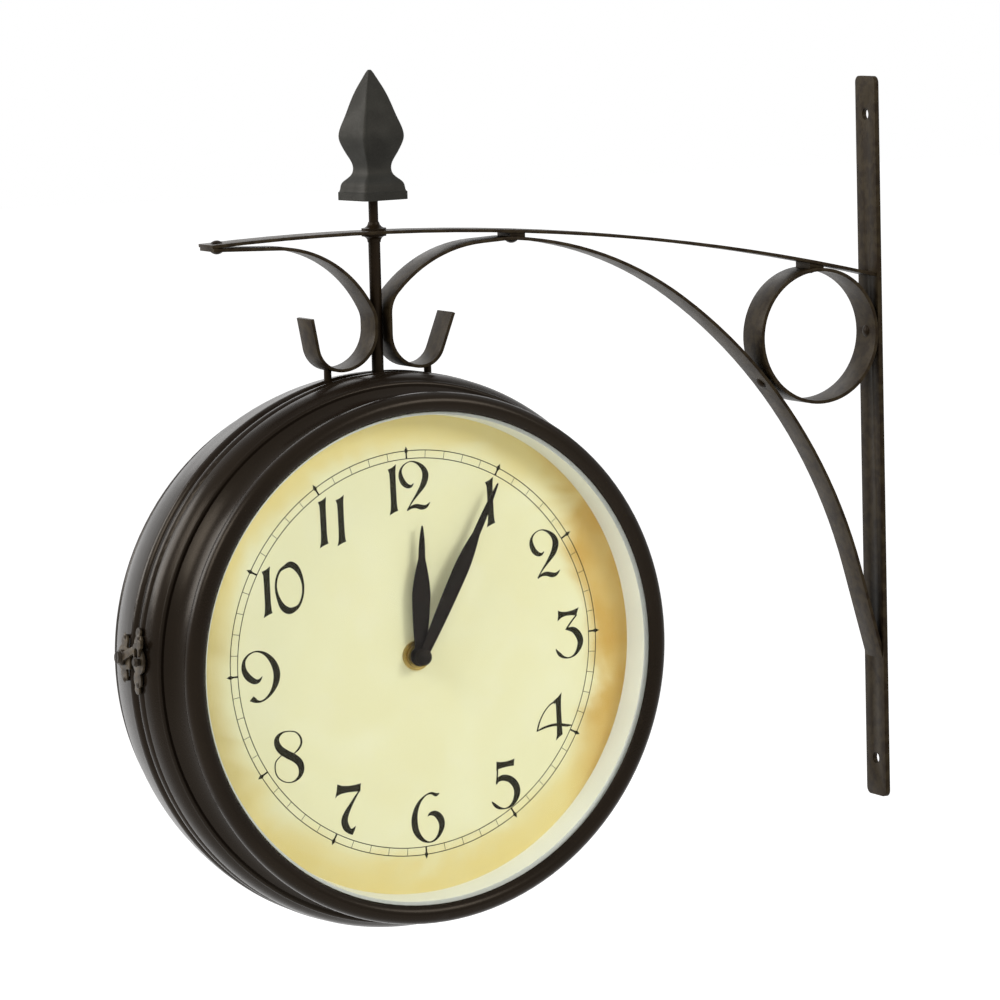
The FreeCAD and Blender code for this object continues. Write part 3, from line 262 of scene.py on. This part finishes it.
def spread(tree, value, low, high, to_low=0.0, to_high=1.0):
    """Smoothly maps low..high onto to_low..to_high."""
    return add(tree, "ShaderNodeMapRange", {0: value, 1: low, 2: high, 3: to_low, 4: to_high},
               interpolation_type="SMOOTHSTEP").outputs[0]


def sums(tree, operation, first, second):
    return add(tree, "ShaderNodeMath", {0: first, 1: second}, operation=operation).outputs[0]


def blended(tree, share, first, second, blend_type="MIX"):
    """Colour mix; share, first and second are values or sockets."""
    mix = add(tree, "ShaderNodeMix", data_type="RGBA", blend_type=blend_type)
    for number, value in ((0, share), (6, first), (7, second)):
        if isinstance(value, bpy.types.NodeSocket):
            tree.links.new(value, mix.inputs[number])
        else:
            mix.inputs[number].default_value = value
    return mix.outputs[2]


def bump(tree, height, strength, distance):
    return add(tree, "ShaderNodeBump", {"Strength": strength, "Distance": distance,
                                        "Height": height}).outputs[0]


# ------------------------------------------------------------------ shared effects
def make_mottle():
    """Two tones in soft patches with a fine grain over them."""
    tree, given, result = new_group(
        "mottle",
        [("Vector", "NodeSocketVector", None), ("Dark", "NodeSocketColor", (0.02, 0.02, 0.02, 1)),
         ("Light", "NodeSocketColor", (0.05, 0.05, 0.05, 1)), ("Patch Scale", "NodeSocketFloat", 40.0),
         ("Grain Scale", "NodeSocketFloat", 900.0), ("Grain Share", "NodeSocketFloat", 0.3)],
        [("Color", "NodeSocketColor"), ("Mask", "NodeSocketFloat"), ("Height", "NodeSocketFloat")])
    patch = add(tree, "ShaderNodeTexNoise", {"Vector": given.outputs["Vector"], "Detail": 4.0,
                                             "Scale": given.outputs["Patch Scale"]}).outputs[0]
    grain = add(tree, "ShaderNodeTexNoise", {"Vector": given.outputs["Vector"], "Detail": 2.0,
                                             "Scale": given.outputs["Grain Scale"]}).outputs[0]
    soft = spread(tree, patch, 0.3, 0.7)
    fine = spread(tree, grain, 0.3, 0.7)
    share = given.outputs["Grain Share"]
    mask = add(tree, "ShaderNodeMix", {0: share, 2: soft, 3: fine}).outputs[0]
    colour = blended(tree, mask, given.outputs["Dark"], given.outputs["Light"])
    tree.links.new(colour, result.inputs["Color"])
    tree.links.new(mask, result.inputs["Mask"])
    tree.links.new(mask, result.inputs["Height"])
    return tree


def make_edge_wear_and_sheen():
    """Paint worn thin along the edges, in broken streaks; the lighter colour there is also a painted sheen on
    the edges.
    """
    tree, given, result = new_group(
        "edge_wear_and_sheen",
        [("Vector", "NodeSocketVector", None), ("Paint", "NodeSocketColor", (0.02, 0.02, 0.02, 1)),
         ("Under", "NodeSocketColor", (0.08, 0.07, 0.05, 1)), ("Edge", "NodeSocketFloat", 0.0),
         ("Wear", "NodeSocketFloat", 0.5), ("Break Scale", "NodeSocketFloat", 260.0)],
        [("Color", "NodeSocketColor"), ("Mask", "NodeSocketFloat")])
    broken = add(tree, "ShaderNodeTexNoise", {"Vector": given.outputs["Vector"], "Detail": 3.0,
                                              "Scale": given.outputs["Break Scale"]}).outputs[0]
    rough = spread(tree, broken, 0.35, 0.65)
    mask = sums(tree, "MULTIPLY", sums(tree, "MULTIPLY", given.outputs["Edge"], rough), given.outputs["Wear"])
    colour = blended(tree, mask, given.outputs["Paint"], given.outputs["Under"])
    tree.links.new(colour, result.inputs["Color"])
    tree.links.new(mask, result.inputs["Mask"])
    return tree


def make_turning():
    """Fine rings left by a lathe round an axis along Y."""
    tree, given, result = new_group(
        "turning_marks",
        [("Vector", "NodeSocketVector", None), ("Ring Scale", "NodeSocketFloat", 2500.0),
         ("Dark", "NodeSocketColor", (0.1, 0.1, 0.1, 1)), ("Light", "NodeSocketColor", (0.4, 0.4, 0.4, 1))],
        [("Color", "NodeSocketColor"), ("Height", "NodeSocketFloat")])
    flat = add(tree, "ShaderNodeVectorMath", {0: given.outputs["Vector"], 1: (1, 0, 1)}, operation="MULTIPLY")
    radius = add(tree, "ShaderNodeVectorMath", {0: flat.outputs[0]}, operation="LENGTH").outputs["Value"]
    rings = add(tree, "ShaderNodeTexNoise",
                {"W": radius, "Scale": given.outputs["Ring Scale"], "Detail": 2.0},
                noise_dimensions="1D").outputs[0]
    cloud = add(tree, "ShaderNodeTexNoise", {"Vector": given.outputs["Vector"], "Scale": 320.0}).outputs[0]
    mask = spread(tree, add(tree, "ShaderNodeMix", {0: 0.4, 2: rings, 3: cloud}).outputs[0], 0.3, 0.7)
    tree.links.new(blended(tree, mask, given.outputs["Dark"], given.outputs["Light"]), result.inputs["Color"])
    tree.links.new(rings, result.inputs["Height"])
    return tree


mottle = make_mottle()
edge_wear_and_sheen = make_edge_wear_and_sheen()
turning_marks = make_turning()


# ------------------------------------------------------------------ finishes
def paint(name, dark, light, edge_and_sheen_colour, patch, roughness, uneven, specular, grain=1400.0):
    """Satin paint over iron or sheet steel, worn along rounded edges, where a lighter colour also paints in a
    sheen.
    """
    made, tree, shader = blank_material(name)
    place = here(tree)
    body = use(tree, mottle, Vector=place, Dark=dark, Light=light, Patch_Scale=patch, Grain_Scale=grain,
               Grain_Share=0.35)
    # rounded edges get a lighter colour: worn paint and a painted sheen along the edges
    edge = add(tree, "ShaderNodeAttribute", attribute_name="edge").outputs["Fac"]
    worn_and_sheen = use(tree, edge_wear_and_sheen, Vector=place, Paint=body.outputs["Color"], Under=edge_and_sheen_colour, Edge=edge,
               Wear=0.6)
    tree.links.new(worn_and_sheen.outputs["Color"], shader.inputs["Base Color"])
    rough = spread(tree, body.outputs["Mask"], 0.0, 1.0, roughness[1], roughness[0])
    tree.links.new(rough, shader.inputs["Roughness"])
    tree.links.new(bump(tree, body.outputs["Height"], uneven, 0.15 * MM), shader.inputs["Normal"])
    shader.inputs["Specular IOR Level"].default_value = specular
    shader.inputs["Specular Tint"].default_value = (1.0, 0.84, 0.66, 1.0)
    return made


def turned_metal(name, dark, light, roughness, centre, rings=2500.0):
    """Brass, zinc or steel with lathe rings round the hands' axis."""
    made, tree, shader = blank_material(name)
    marks = use(tree, turning_marks, Vector=here(tree, centre), Ring_Scale=rings, Dark=dark, Light=light)
    tree.links.new(marks.outputs["Color"], shader.inputs["Base Color"])
    tree.links.new(bump(tree, marks.outputs["Height"], 0.25, 0.03 * MM), shader.inputs["Normal"])
    shader.inputs["Metallic"].default_value = 1.0
    shader.inputs["Roughness"].default_value = roughness
    return made


def moulded(name, dark, light, roughness, grain=1800.0, patch=60.0, specular=0.4, height=0.15):
    """Moulded plastic or rubber with a fine texture."""
    made, tree, shader = blank_material(name)
    body = use(tree, mottle, Vector=here(tree), Dark=dark, Light=light, Patch_Scale=patch,
               Grain_Scale=grain, Grain_Share=0.5)
    tree.links.new(body.outputs["Color"], shader.inputs["Base Color"])
    tree.links.new(bump(tree, body.outputs["Height"], height, 0.05 * MM), shader.inputs["Normal"])
    tree.links.new(spread(tree, body.outputs["Mask"], 0.0, 1.0, roughness + 0.05, roughness - 0.05),
                   shader.inputs["Roughness"])
    shader.inputs["Specular IOR Level"].default_value = specular
    return made


def aged_dial(name, centre, face, facing):
    """Cream enamel that has yellowed round the rim, with brown clouds on the right and painted shade along
    the left rim.
    facing is 1 where the reader's right is +X and -1 on the other side; face is the print's Y."""
    made, tree, shader = blank_material(name)
    place = here(tree, centre)
    flat = add(tree, "ShaderNodeVectorMath", {0: place, 1: (1, 0, 1)}, operation="MULTIPLY").outputs[0]
    radius = add(tree, "ShaderNodeVectorMath", {0: flat}, operation="LENGTH").outputs["Value"]
    drift = add(tree, "ShaderNodeVectorMath", {0: flat, 1: (stain_lean[0] * facing, 0, stain_lean[1])},
                operation="DOT_PRODUCT").outputs["Value"]
    clouds = add(tree, "ShaderNodeTexNoise", {"Vector": place, "Scale": 17.0, "Detail": 3.5,
                                              "Roughness": 0.55, "Distortion": 0.8}).outputs[0]
    small = add(tree, "ShaderNodeTexNoise", {"Vector": place, "Scale": 62.0, "Detail": 4.0}).outputs[0]
    wander = sums(tree, "MULTIPLY", sums(tree, "SUBTRACT", clouds, 0.5), stain_wander)
    reach = sums(tree, "ADD", radius, wander)
    rim = sums(tree, "MULTIPLY", spread(tree, reach, *rim_yellow),
               spread(tree, small, 0.15, 0.75, 0.8, 1.0))
    aside = sums(tree, "ADD", drift, sums(tree, "MULTIPLY", wander, side_wander))
    deep = sums(tree, "MULTIPLY", spread(tree, aside, *right_stain),
                spread(tree, small, 0.2, 0.7, 0.6, 1.0))
    deep = sums(tree, "MULTIPLY", deep, spread(tree, reach, *right_stain_rim))
    cream = blended(tree, spread(tree, clouds, 0.3, 0.7), tone(239, 234, 192), tone(236, 229, 182))
    cream = blended(tree, spread(tree, small, 0.45, 0.8, 0.0, 0.35), cream, tone(243, 238, 206))
    colour = blended(tree, rim, cream, tone(231, 211, 140))
    # painted shade: brown darkening along the left rim, tone (190, 172, 112)
    painted_left_shade = sums(tree, "MULTIPLY", spread(tree, sums(tree, "SUBTRACT", wander, drift), *left_painted_shade),
                    spread(tree, small, 0.2, 0.7, 0.5, 0.85))
    colour = blended(tree, painted_left_shade, colour, tone(190, 172, 112))
    colour = blended(tree, deep, colour, tone(202, 160, 78))
    where = add(tree, "ShaderNodeTexCoord").outputs["Object"]
    depth = add(tree, "ShaderNodeSeparateXYZ", {0: where}).outputs[1]
    behind = sums(tree, "GREATER_THAN", sums(tree, "MULTIPLY", depth, facing), face * facing + print_side)
    colour = blended(tree, behind, colour, blended(tree, spread(tree, small, 0.3, 0.7), tone(150, 148, 138),
                                                   tone(168, 165, 154)))
    tree.links.new(colour, shader.inputs["Base Color"])
    tree.links.new(spread(tree, small, 0.2, 0.8, 0.5, 0.42), shader.inputs["Roughness"])
    tree.links.new(bump(tree, small, 0.08, 0.1 * MM), shader.inputs["Normal"])
    shader.inputs["Specular IOR Level"].default_value = 0.25
    return made


def printed_ink(name):
    """Near-black olive ink, a little thinner in places."""
    made, tree, shader = blank_material(name)
    place = here(tree)
    film = use(tree, mottle, Vector=place, Dark=tone(25, 23, 11), Light=tone(42, 38, 22), Patch_Scale=120.0,
               Grain_Scale=2600.0, Grain_Share=0.45)
    tree.links.new(film.outputs["Color"], shader.inputs["Base Color"])
    tree.links.new(spread(tree, film.outputs["Mask"], 0.0, 1.0, 0.5, 0.62), shader.inputs["Roughness"])
    shader.inputs["Specular IOR Level"].default_value = 0.1
    return made


def clear_glass():
    """Clear flat glass that lets the lamps through to the dial."""
    made = bpy.data.materials.new("clear_glass")
    made.use_nodes = True
    tree = made.node_tree
    tree.nodes.clear()
    smear = add(tree, "ShaderNodeTexNoise", {"Vector": here(tree), "Scale": 30.0, "Detail": 3.0}).outputs[0]
    shader = add(tree, "ShaderNodeBsdfPrincipled", {
        "Base Color": tone(251, 253, 251), "Transmission Weight": 1.0, "IOR": 1.16,
        "Roughness": spread(tree, smear, 0.3, 0.8, 0.0, 0.03)})
    through = add(tree, "ShaderNodeBsdfTransparent", {"Color": (0.97, 0.98, 0.97, 1)})
    ray = add(tree, "ShaderNodeLightPath")
    passing = sums(tree, "MAXIMUM", ray.outputs["Is Shadow Ray"], ray.outputs["Is Diffuse Ray"])
    mixed = add(tree, "ShaderNodeMixShader", {0: passing, 1: shader.outputs[0], 2: through.outputs[0]})
    add(tree, "ShaderNodeOutputMaterial", {"Surface": mixed.outputs[0]})
    return made


# The third colour of each paint shows on rounded edges, as worn paint and as a painted sheen.
bracket_paint = paint("bracket_paint", tone(21, 14, 8), tone(30, 22, 12), tone(50, 42, 28), 70.0,
                      (0.36, 0.46), 0.12, 0.08)
cast_spear = paint("cast_spear", tone(33, 33, 31), tone(44, 44, 41), tone(66, 64, 58), 90.0,
                   (0.5, 0.62), 0.4, 0.1, 1900.0)
case_paint = paint("case_paint", tone(17, 12, 8), tone(26, 20, 14), tone(66, 56, 44), 22.0,
                   (0.22, 0.29), 0.06, 0.11)
latch_metal = paint("latch_metal", tone(20, 16, 12), tone(36, 29, 21), tone(78, 67, 50), 160.0,
                    (0.3, 0.44), 0.3, 0.22)
hand_black = paint("hand_black", tone(14, 10, 9), tone(23, 17, 15), tone(54, 42, 36), 160.0,
                   (0.4, 0.52), 0.1, 0.1)
spacer_white = moulded("spacer_white", tone(222, 223, 213), tone(232, 233, 226), 0.42, 1500.0, 26.0,
                       0.35, 0.06)
brass = turned_metal("brass", tone(132, 112, 58), tone(186, 160, 92), 0.34, case_axis)
zinc = turned_metal("zinc", tone(140, 140, 136), tone(190, 190, 186), 0.38, case_axis, 1800.0)
rubber = moulded("rubber", tone(22, 22, 22), tone(36, 36, 35), 0.75, 1500.0, 120.0, 0.2)
movement_plastic = moulded("movement_plastic", tone(20, 20, 21), tone(32, 32, 33), 0.45, 2400.0, 70.0)
gear_plastic = moulded("gear_plastic", tone(206, 203, 190), tone(226, 223, 212), 0.4, 2200.0, 90.0)
battery_wrap = moulded("battery_wrap", tone(52, 62, 74), tone(76, 88, 102), 0.35, 700.0, 45.0, 0.5)
dial_front = aged_dial("dial_front", case_axis, front_dial_face, 1)
dial_rear = aged_dial("dial_rear", case_axis, rear_dial_face, -1)
ink = printed_ink("printed_ink")
glass = clear_glass()

finishes = {
    "wall_bar": bracket_paint, "top_strap": bracket_paint, "left_scroll": bracket_paint,
    "scroll_arch": bracket_paint, "corner_ring": bracket_paint, "strap_spacers": bracket_paint,
    "strap_rivets": bracket_paint, "post": bracket_paint, "post_collars": bracket_paint,
    "finial": cast_spear, "stub_pins": bracket_paint, "mounting_nuts": zinc,
    "rear_case_rivets": latch_metal, "front_case_rivets": latch_metal, "hinge_leaf_rear": latch_metal,
    "hinge_leaf_front": latch_metal, "hinge_pin": latch_metal, "latch_plate": latch_metal,
    "latch_keeper_plate": latch_metal, "latch_keeper_peg": latch_metal, "latch_pivot": latch_metal,
    "latch_hook": latch_metal,
}
paired_finishes = {
    "case_shell": case_paint, "bezel": case_paint, "glass": glass, "spacer_ring": spacer_white,
    "snap_ring": zinc, "hour_hand": hand_black, "minute_hand": hand_black, "hand_nut": hand_black,
    "shaft_nut": brass, "movement_gasket": rubber, "movement_case": movement_plastic,
    "movement_cover": movement_plastic, "minute_wheel": gear_plastic, "motion_wheel": gear_plastic,
    "hour_wheel": gear_plastic, "setting_knob": movement_plastic, "battery": battery_wrap,
    "battery_contacts": zinc,
}
for part, finish in paired_finishes.items():
    finishes["front_" + part] = finish
    finishes["rear_" + part] = finish
finishes["front_dial_plate"] = dial_front
finishes["rear_dial_plate"] = dial_rear
for node, finish in finishes.items():
    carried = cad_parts[node]
    for holder in carried.material_slots:
        holder.material = finish


# ------------------------------------------------------------------ straps and plates with rounded edges
def rounded(node, body, width):
    """Copy of a CAD piece whose sharp edges are rolled over, with its edges marked for wear and a painted
    sheen.
    """
    shape = bmesh.new()
    shape.from_mesh(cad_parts[node].data)
    bmesh.ops.remove_doubles(shape, verts=shape.verts, dist=merge_gap)
    bmesh.ops.dissolve_limit(shape, angle_limit=flat_angle, verts=shape.verts, edges=shape.edges)
    sharp = bpy.data.meshes.new(node + "_rounded")
    shape.to_mesh(sharp)
    shape.free()
    finish = finishes[node]
    sharp.materials.append(finish)
    sharp.materials.append(finish)
    made = bpy.data.objects.new(node + "_rounded", sharp)
    bpy.context.scene.collection.objects.link(made)
    roll = made.modifiers.new("rolled_edges", "BEVEL")
    roll.width = width * MM
    roll.segments = edge_steps
    roll.limit_method = "ANGLE"
    roll.angle_limit = edge_angle
    roll.material = 1
    made.data = bpy.data.meshes.new_from_object(made.evaluated_get(bpy.context.evaluated_depsgraph_get()))
    made.modifiers.clear()
    mesh = made.data
    mesh.name = node + "_rounded"
    # marks the rolled edges, where the paint gets a worn colour and a painted sheen
    edge_wear_and_sheen_mask = mesh.attributes.new("edge", "FLOAT", "POINT")
    for face in mesh.polygons:
        face.use_smooth = True
        if face.material_index:
            for corner_point in face.vertices:
                edge_wear_and_sheen_mask.data[corner_point].value = 1.0
        face.material_index = 0
    mesh.set_sharp_from_angle(angle=shading_angle)
    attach(made, body)
    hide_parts(node)


for node in ("wall_bar", "top_strap", "left_scroll", "scroll_arch", "corner_ring", "strap_spacers"):
    rounded(node, "rear_case", strap_edge)
for node, body in (("latch_plate", "rear_case"), ("hinge_leaf_rear", "rear_case"),
                   ("latch_keeper_plate", "front_case"), ("hinge_leaf_front", "front_case"),
                   ("latch_hook", "latch_hook")):
    rounded(node, body, plate_edge)


# ------------------------------------------------------------------ print on the two dials
def through_points(points):
    """Smooth run through the points of a stroke (Catmull-Rom), each with its width."""
    run = []
    last = len(points) - 1
    for i in range(last):
        before, start, end, after = points[max(i - 1, 0)], points[i], points[i + 1], points[min(i + 2, last)]
        for step in range(stroke_steps):
            t = step / stroke_steps
            run.append([0.5 * (2 * b + (c - a) * t + (2 * a - 5 * b + 4 * c - d) * t * t
                               + (3 * b - a - 3 * c + d) * t ** 3)
                        for a, b, c, d in zip(before, start, end, after)])
    run.append(list(points[-1]))
    return run


def numeral_faces(shape, numeral, at_x, at_y):
    """Adds one numeral to a bmesh in mm, lying in X and Y and facing +Z."""
    for layer, (kind, points) in enumerate(numeral_shapes[numeral]):
        height = ink_layer * layer
        if kind == "shape":
            corners = [shape.verts.new((at_x + x, at_y + y, height)) for x, y in points]
            face = shape.faces.new(corners)
            face.normal_update()
            if face.normal.z < 0:
                face.normal_flip()
            continue
        run = through_points(points)
        rails = []
        for i, (x, y, width) in enumerate(run):
            back_point, ahead_point = run[max(i - 1, 0)], run[min(i + 1, len(run) - 1)]
            along = Vector((ahead_point[0] - back_point[0], ahead_point[1] - back_point[1]))
            if along.length > 0:
                along.normalize()
            half = max(width, least_stroke) / 2
            left = Vector((-along.y, along.x)) * half
            rails.append((shape.verts.new((at_x + x + left.x, at_y + y + left.y, height)),
                          shape.verts.new((at_x + x - left.x, at_y + y - left.y, height))))
        for (left_a, right_a), (left_b, right_b) in zip(rails, rails[1:]):
            shape.faces.new((left_a, right_a, right_b, left_b))


def build_track():
    """Geometry Nodes tree: two thin circles, minute ticks between them, a bar and a diamond at
    each hour. Sizes in mm, flat in X and Y, facing +Z."""
    tree, given, result = new_group(
        "minute_track",
        [("Geometry", "NodeSocketGeometry", None), ("Outer Radius", "NodeSocketFloat", track_outer_r),
         ("Gap", "NodeSocketFloat", track_gap), ("Line", "NodeSocketFloat", track_line),
         ("Tick", "NodeSocketFloat", minute_tick), ("Hour Bar", "NodeSocketFloat", hour_bar),
         ("Diamond Length", "NodeSocketFloat", diamond_length),
         ("Diamond Width", "NodeSocketFloat", diamond_width), ("Minutes", "NodeSocketInt", minutes_round),
         ("Hours", "NodeSocketInt", hours_round), ("Ink", "NodeSocketMaterial", None)],
        [("Geometry", "NodeSocketGeometry")], "GeometryNodeTree")
    sock = given.outputs
    inner = sums(tree, "SUBTRACT", sock["Outer Radius"], sock["Gap"])
    middle = sums(tree, "SUBTRACT", sock["Outer Radius"], sums(tree, "MULTIPLY", sock["Gap"], 0.5))

    def flat_ring(radius):
        circle = add(tree, "GeometryNodeCurvePrimitiveCircle",
                     {"Resolution": circle_pieces, "Radius": radius})
        half = sums(tree, "MULTIPLY", sock["Line"], 0.5)
        start = add(tree, "ShaderNodeCombineXYZ", {0: half})
        end = add(tree, "ShaderNodeCombineXYZ", {0: sums(tree, "MULTIPLY", half, -1.0)})
        width = add(tree, "GeometryNodeCurvePrimitiveLine",
                    {"Start": start.outputs[0], "End": end.outputs[0]})
        return add(tree, "GeometryNodeCurveToMesh",
                   {"Curve": circle.outputs[0], "Profile Curve": width.outputs[0]}).outputs[0]

    def round_the_dial(mark, count, radius):
        points = add(tree, "GeometryNodePoints", {"Count": count})
        index = add(tree, "GeometryNodeInputIndex").outputs[0]
        angle = sums(tree, "MULTIPLY", sums(tree, "DIVIDE", index, count), math.tau)
        across = sums(tree, "MULTIPLY", sums(tree, "SINE", angle, 0.0), radius)
        up = sums(tree, "MULTIPLY", sums(tree, "COSINE", angle, 0.0), radius)
        place = add(tree, "ShaderNodeCombineXYZ", {0: across, 1: up})
        put = add(tree, "GeometryNodeSetPosition",
                  {"Geometry": points.outputs[0], "Position": place.outputs[0]})
        turn = add(tree, "ShaderNodeCombineXYZ", {2: sums(tree, "MULTIPLY", angle, -1.0)})
        return add(tree, "GeometryNodeInstanceOnPoints", {"Points": put.outputs[0], "Instance": mark,
                                                          "Rotation": turn.outputs[0]}).outputs[0]

    tick = add(tree, "GeometryNodeMeshGrid", {"Size X": sock["Tick"], "Size Y": sock["Gap"],
                                              "Vertices X": 2, "Vertices Y": 2}).outputs[0]
    bar = add(tree, "GeometryNodeMeshGrid", {"Size X": sock["Hour Bar"], "Size Y": sock["Gap"],
                                             "Vertices X": 2, "Vertices Y": 2}).outputs[0]
    spot = add(tree, "GeometryNodeMeshCircle", {"Vertices": 4, "Radius": 0.5}, fill_type="NGON").outputs[0]
    size = add(tree, "ShaderNodeCombineXYZ", {0: sock["Diamond Width"], 1: sock["Diamond Length"], 2: 1.0})
    diamond = add(tree, "GeometryNodeTransform", {"Geometry": spot, "Scale": size.outputs[0],
                                                  "Translation": (0, 0, ink_layer)}).outputs[0]
    parts = [flat_ring(sock["Outer Radius"]), flat_ring(inner),
             round_the_dial(tick, sock["Minutes"], middle), round_the_dial(bar, sock["Hours"], middle),
             round_the_dial(diamond, sock["Hours"], sock["Outer Radius"])]
    joined = add(tree, "GeometryNodeJoinGeometry")
    for part in parts:
        tree.links.new(part, joined.inputs[0])
    real = add(tree, "GeometryNodeRealizeInstances", {0: joined.outputs[0]})
    inked = add(tree, "GeometryNodeSetMaterial", {"Geometry": real.outputs[0], "Material": sock["Ink"]})
    tree.links.new(inked.outputs[0], result.inputs[0])
    return tree


minute_track = build_track()
track_sizes = {"Outer Radius": track_outer_r, "Gap": track_gap, "Line": track_line, "Tick": minute_tick,
               "Hour Bar": hour_bar, "Diamond Length": diamond_length, "Diamond Width": diamond_width,
               "Minutes": minutes_round, "Hours": hours_round, "Ink": ink}


def dial_frame(centre, face, facing, turn):
    """Matrix from the reader's millimetres on a dial to the clock's metres."""
    x_axis = Vector((facing, 0, 0))
    out = Vector((0, -facing, 0))
    place = Matrix((x_axis, Vector((0, 0, 1)), out)).transposed().to_4x4()
    place.translation = Vector((centre.x, face - facing * print_lift, centre.z))
    return place @ Matrix.Rotation(math.radians(turn), 4, "Z") @ Matrix.Scale(MM, 4)


def ink_piece(name, mesh, place, body):
    """Printed mesh brought to its dial, riding on the dial's half of the case."""
    mesh.name = name
    mesh.transform(place)
    made = bpy.data.objects.new(name, mesh)
    bpy.context.scene.collection.objects.link(made)
    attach(made, body)


def print_dial(side, place, body):
    """Numerals and minute track of one dial."""
    shape = bmesh.new()
    for numeral, x, y in numeral_places:
        numeral_faces(shape, numeral, x, y)
    bmesh.ops.triangulate(shape, faces=shape.faces[:])
    numerals = bpy.data.meshes.new(side + "_numerals")
    shape.to_mesh(numerals)
    shape.free()
    numerals.materials.append(ink)
    ink_piece(side + "_numerals", numerals, place, body)
    holder = bpy.data.objects.new(side + "_track", bpy.data.meshes.new(side + "_track"))
    bpy.context.scene.collection.objects.link(holder)
    marks = holder.modifiers.new("track", "NODES")
    marks.node_group = minute_track
    for socket in minute_track.interface.items_tree:
        if socket.item_type == "SOCKET" and socket.in_out == "INPUT" and socket.name in track_sizes:
            marks[socket.identifier] = track_sizes[socket.name]
    track = bpy.data.meshes.new_from_object(holder.evaluated_get(bpy.context.evaluated_depsgraph_get()))
    bpy.data.objects.remove(holder)
    ink_piece(side + "_minute_track", track, place, body)


print_dial("front", dial_frame(print_centre, front_dial_face, 1, front_print_turn), "front_case")
print_dial("rear", dial_frame(case_axis, rear_dial_face, -1, 0.0), "rear_case")


# ------------------------------------------------------------------ studio
def white_where_seen(tree):
    """1 for the camera, reflections and glass, and 0 for the light on the object."""
    ray = add(tree, "ShaderNodeLightPath")
    return sums(tree, "MAXIMUM", ray.outputs["Is Camera Ray"],
                sums(tree, "MAXIMUM", ray.outputs["Is Glossy Ray"], ray.outputs["Is Transmission Ray"]))


world = bpy.data.worlds.new("studio")
bpy.context.scene.world = world
world.use_nodes = True
sky = world.node_tree
sky.nodes.clear()
seen = white_where_seen(sky)
level = add(sky, "ShaderNodeMix", {0: seen, 2: surroundings_light, 3: 1.0}).outputs[0]
light = add(sky, "ShaderNodeBackground", {"Color": (1, 1, 1, 1), "Strength": level})
add(sky, "ShaderNodeOutputWorld", {"Surface": light.outputs[0]})

floor_mesh = bpy.data.meshes.new("floor")
floor_corners = [(x, y, floor_z) for x, y in ((-9, -6), (9, -6), (9, 12), (-9, 12))]
floor_mesh.from_pydata(floor_corners, [], [(0, 1, 2, 3)])
floor = bpy.data.objects.new("floor", floor_mesh)
bpy.context.scene.collection.objects.link(floor)
floor_paint = bpy.data.materials.new("floor_paint")
floor_paint.use_nodes = True
ground = floor_paint.node_tree
ground.nodes.clear()
matt = add(ground, "ShaderNodeBsdfDiffuse", {"Color": (floor_grey, floor_grey, floor_grey, 1)})
glow_level = sums(ground, "MULTIPLY", white_where_seen(ground), floor_glow)
glow = add(ground, "ShaderNodeEmission", {"Color": (1, 1, 1, 1), "Strength": glow_level})
both = add(ground, "ShaderNodeAddShader", {0: matt.outputs[0], 1: glow.outputs[0]})
add(ground, "ShaderNodeOutputMaterial", {"Surface": both.outputs[0]})
floor_mesh.materials.append(floor_paint)


def lamp(name, place, size, power):
    """Square softbox at a place measured from the light's aim, with its size in m and power in W."""
    made = bpy.data.objects.new(name, bpy.data.lights.new(name, "AREA"))
    bpy.context.scene.collection.objects.link(made)
    made.data.size = size
    made.data.energy = power
    made.location = light_aim + Vector(place)
    made.rotation_euler = (light_aim - made.location).to_track_quat("-Z", "Y").to_euler()


lamp("softbox_right", (0.75, -1.35, 0.75), 0.6, 12.0)
lamp("softbox_left", (-1.5, -0.35, 1.0), 0.7, 18.0)
lamp("softbox_flank", (-1.15, 0.85, 0.6), 0.8, 18.0)
lamp("softbox_back", (0.3, 1.5, 0.8), 0.9, 3.0)

# The camera stands left of the clock, a little above it, with a long lens
azimuth = math.radians(camera_azimuth)
elevation = math.radians(camera_elevation)
roll = math.radians(camera_roll)
away = Vector((-math.sin(azimuth) * math.cos(elevation), -math.cos(azimuth) * math.cos(elevation),
               math.sin(elevation)))
level_right = Vector((math.cos(azimuth), -math.sin(azimuth), 0))
level_up = away.cross(level_right)
view_right = level_right * math.cos(roll) + level_up * math.sin(roll)
view_up = level_up * math.cos(roll) - level_right * math.sin(roll)
camera = bpy.data.objects.new("camera", bpy.data.cameras.new("camera"))
bpy.context.scene.collection.objects.link(camera)
camera.data.sensor_width = camera_sensor
camera.data.lens = camera_lens
camera.data.clip_end = camera_far
stand = Matrix((view_right, view_up, away)).transposed().to_4x4()
stand.translation = Vector(camera_place)
camera.matrix_world = stand
bpy.context.scene.camera = camera
bpy.context.scene.view_settings.view_transform = "Standard"
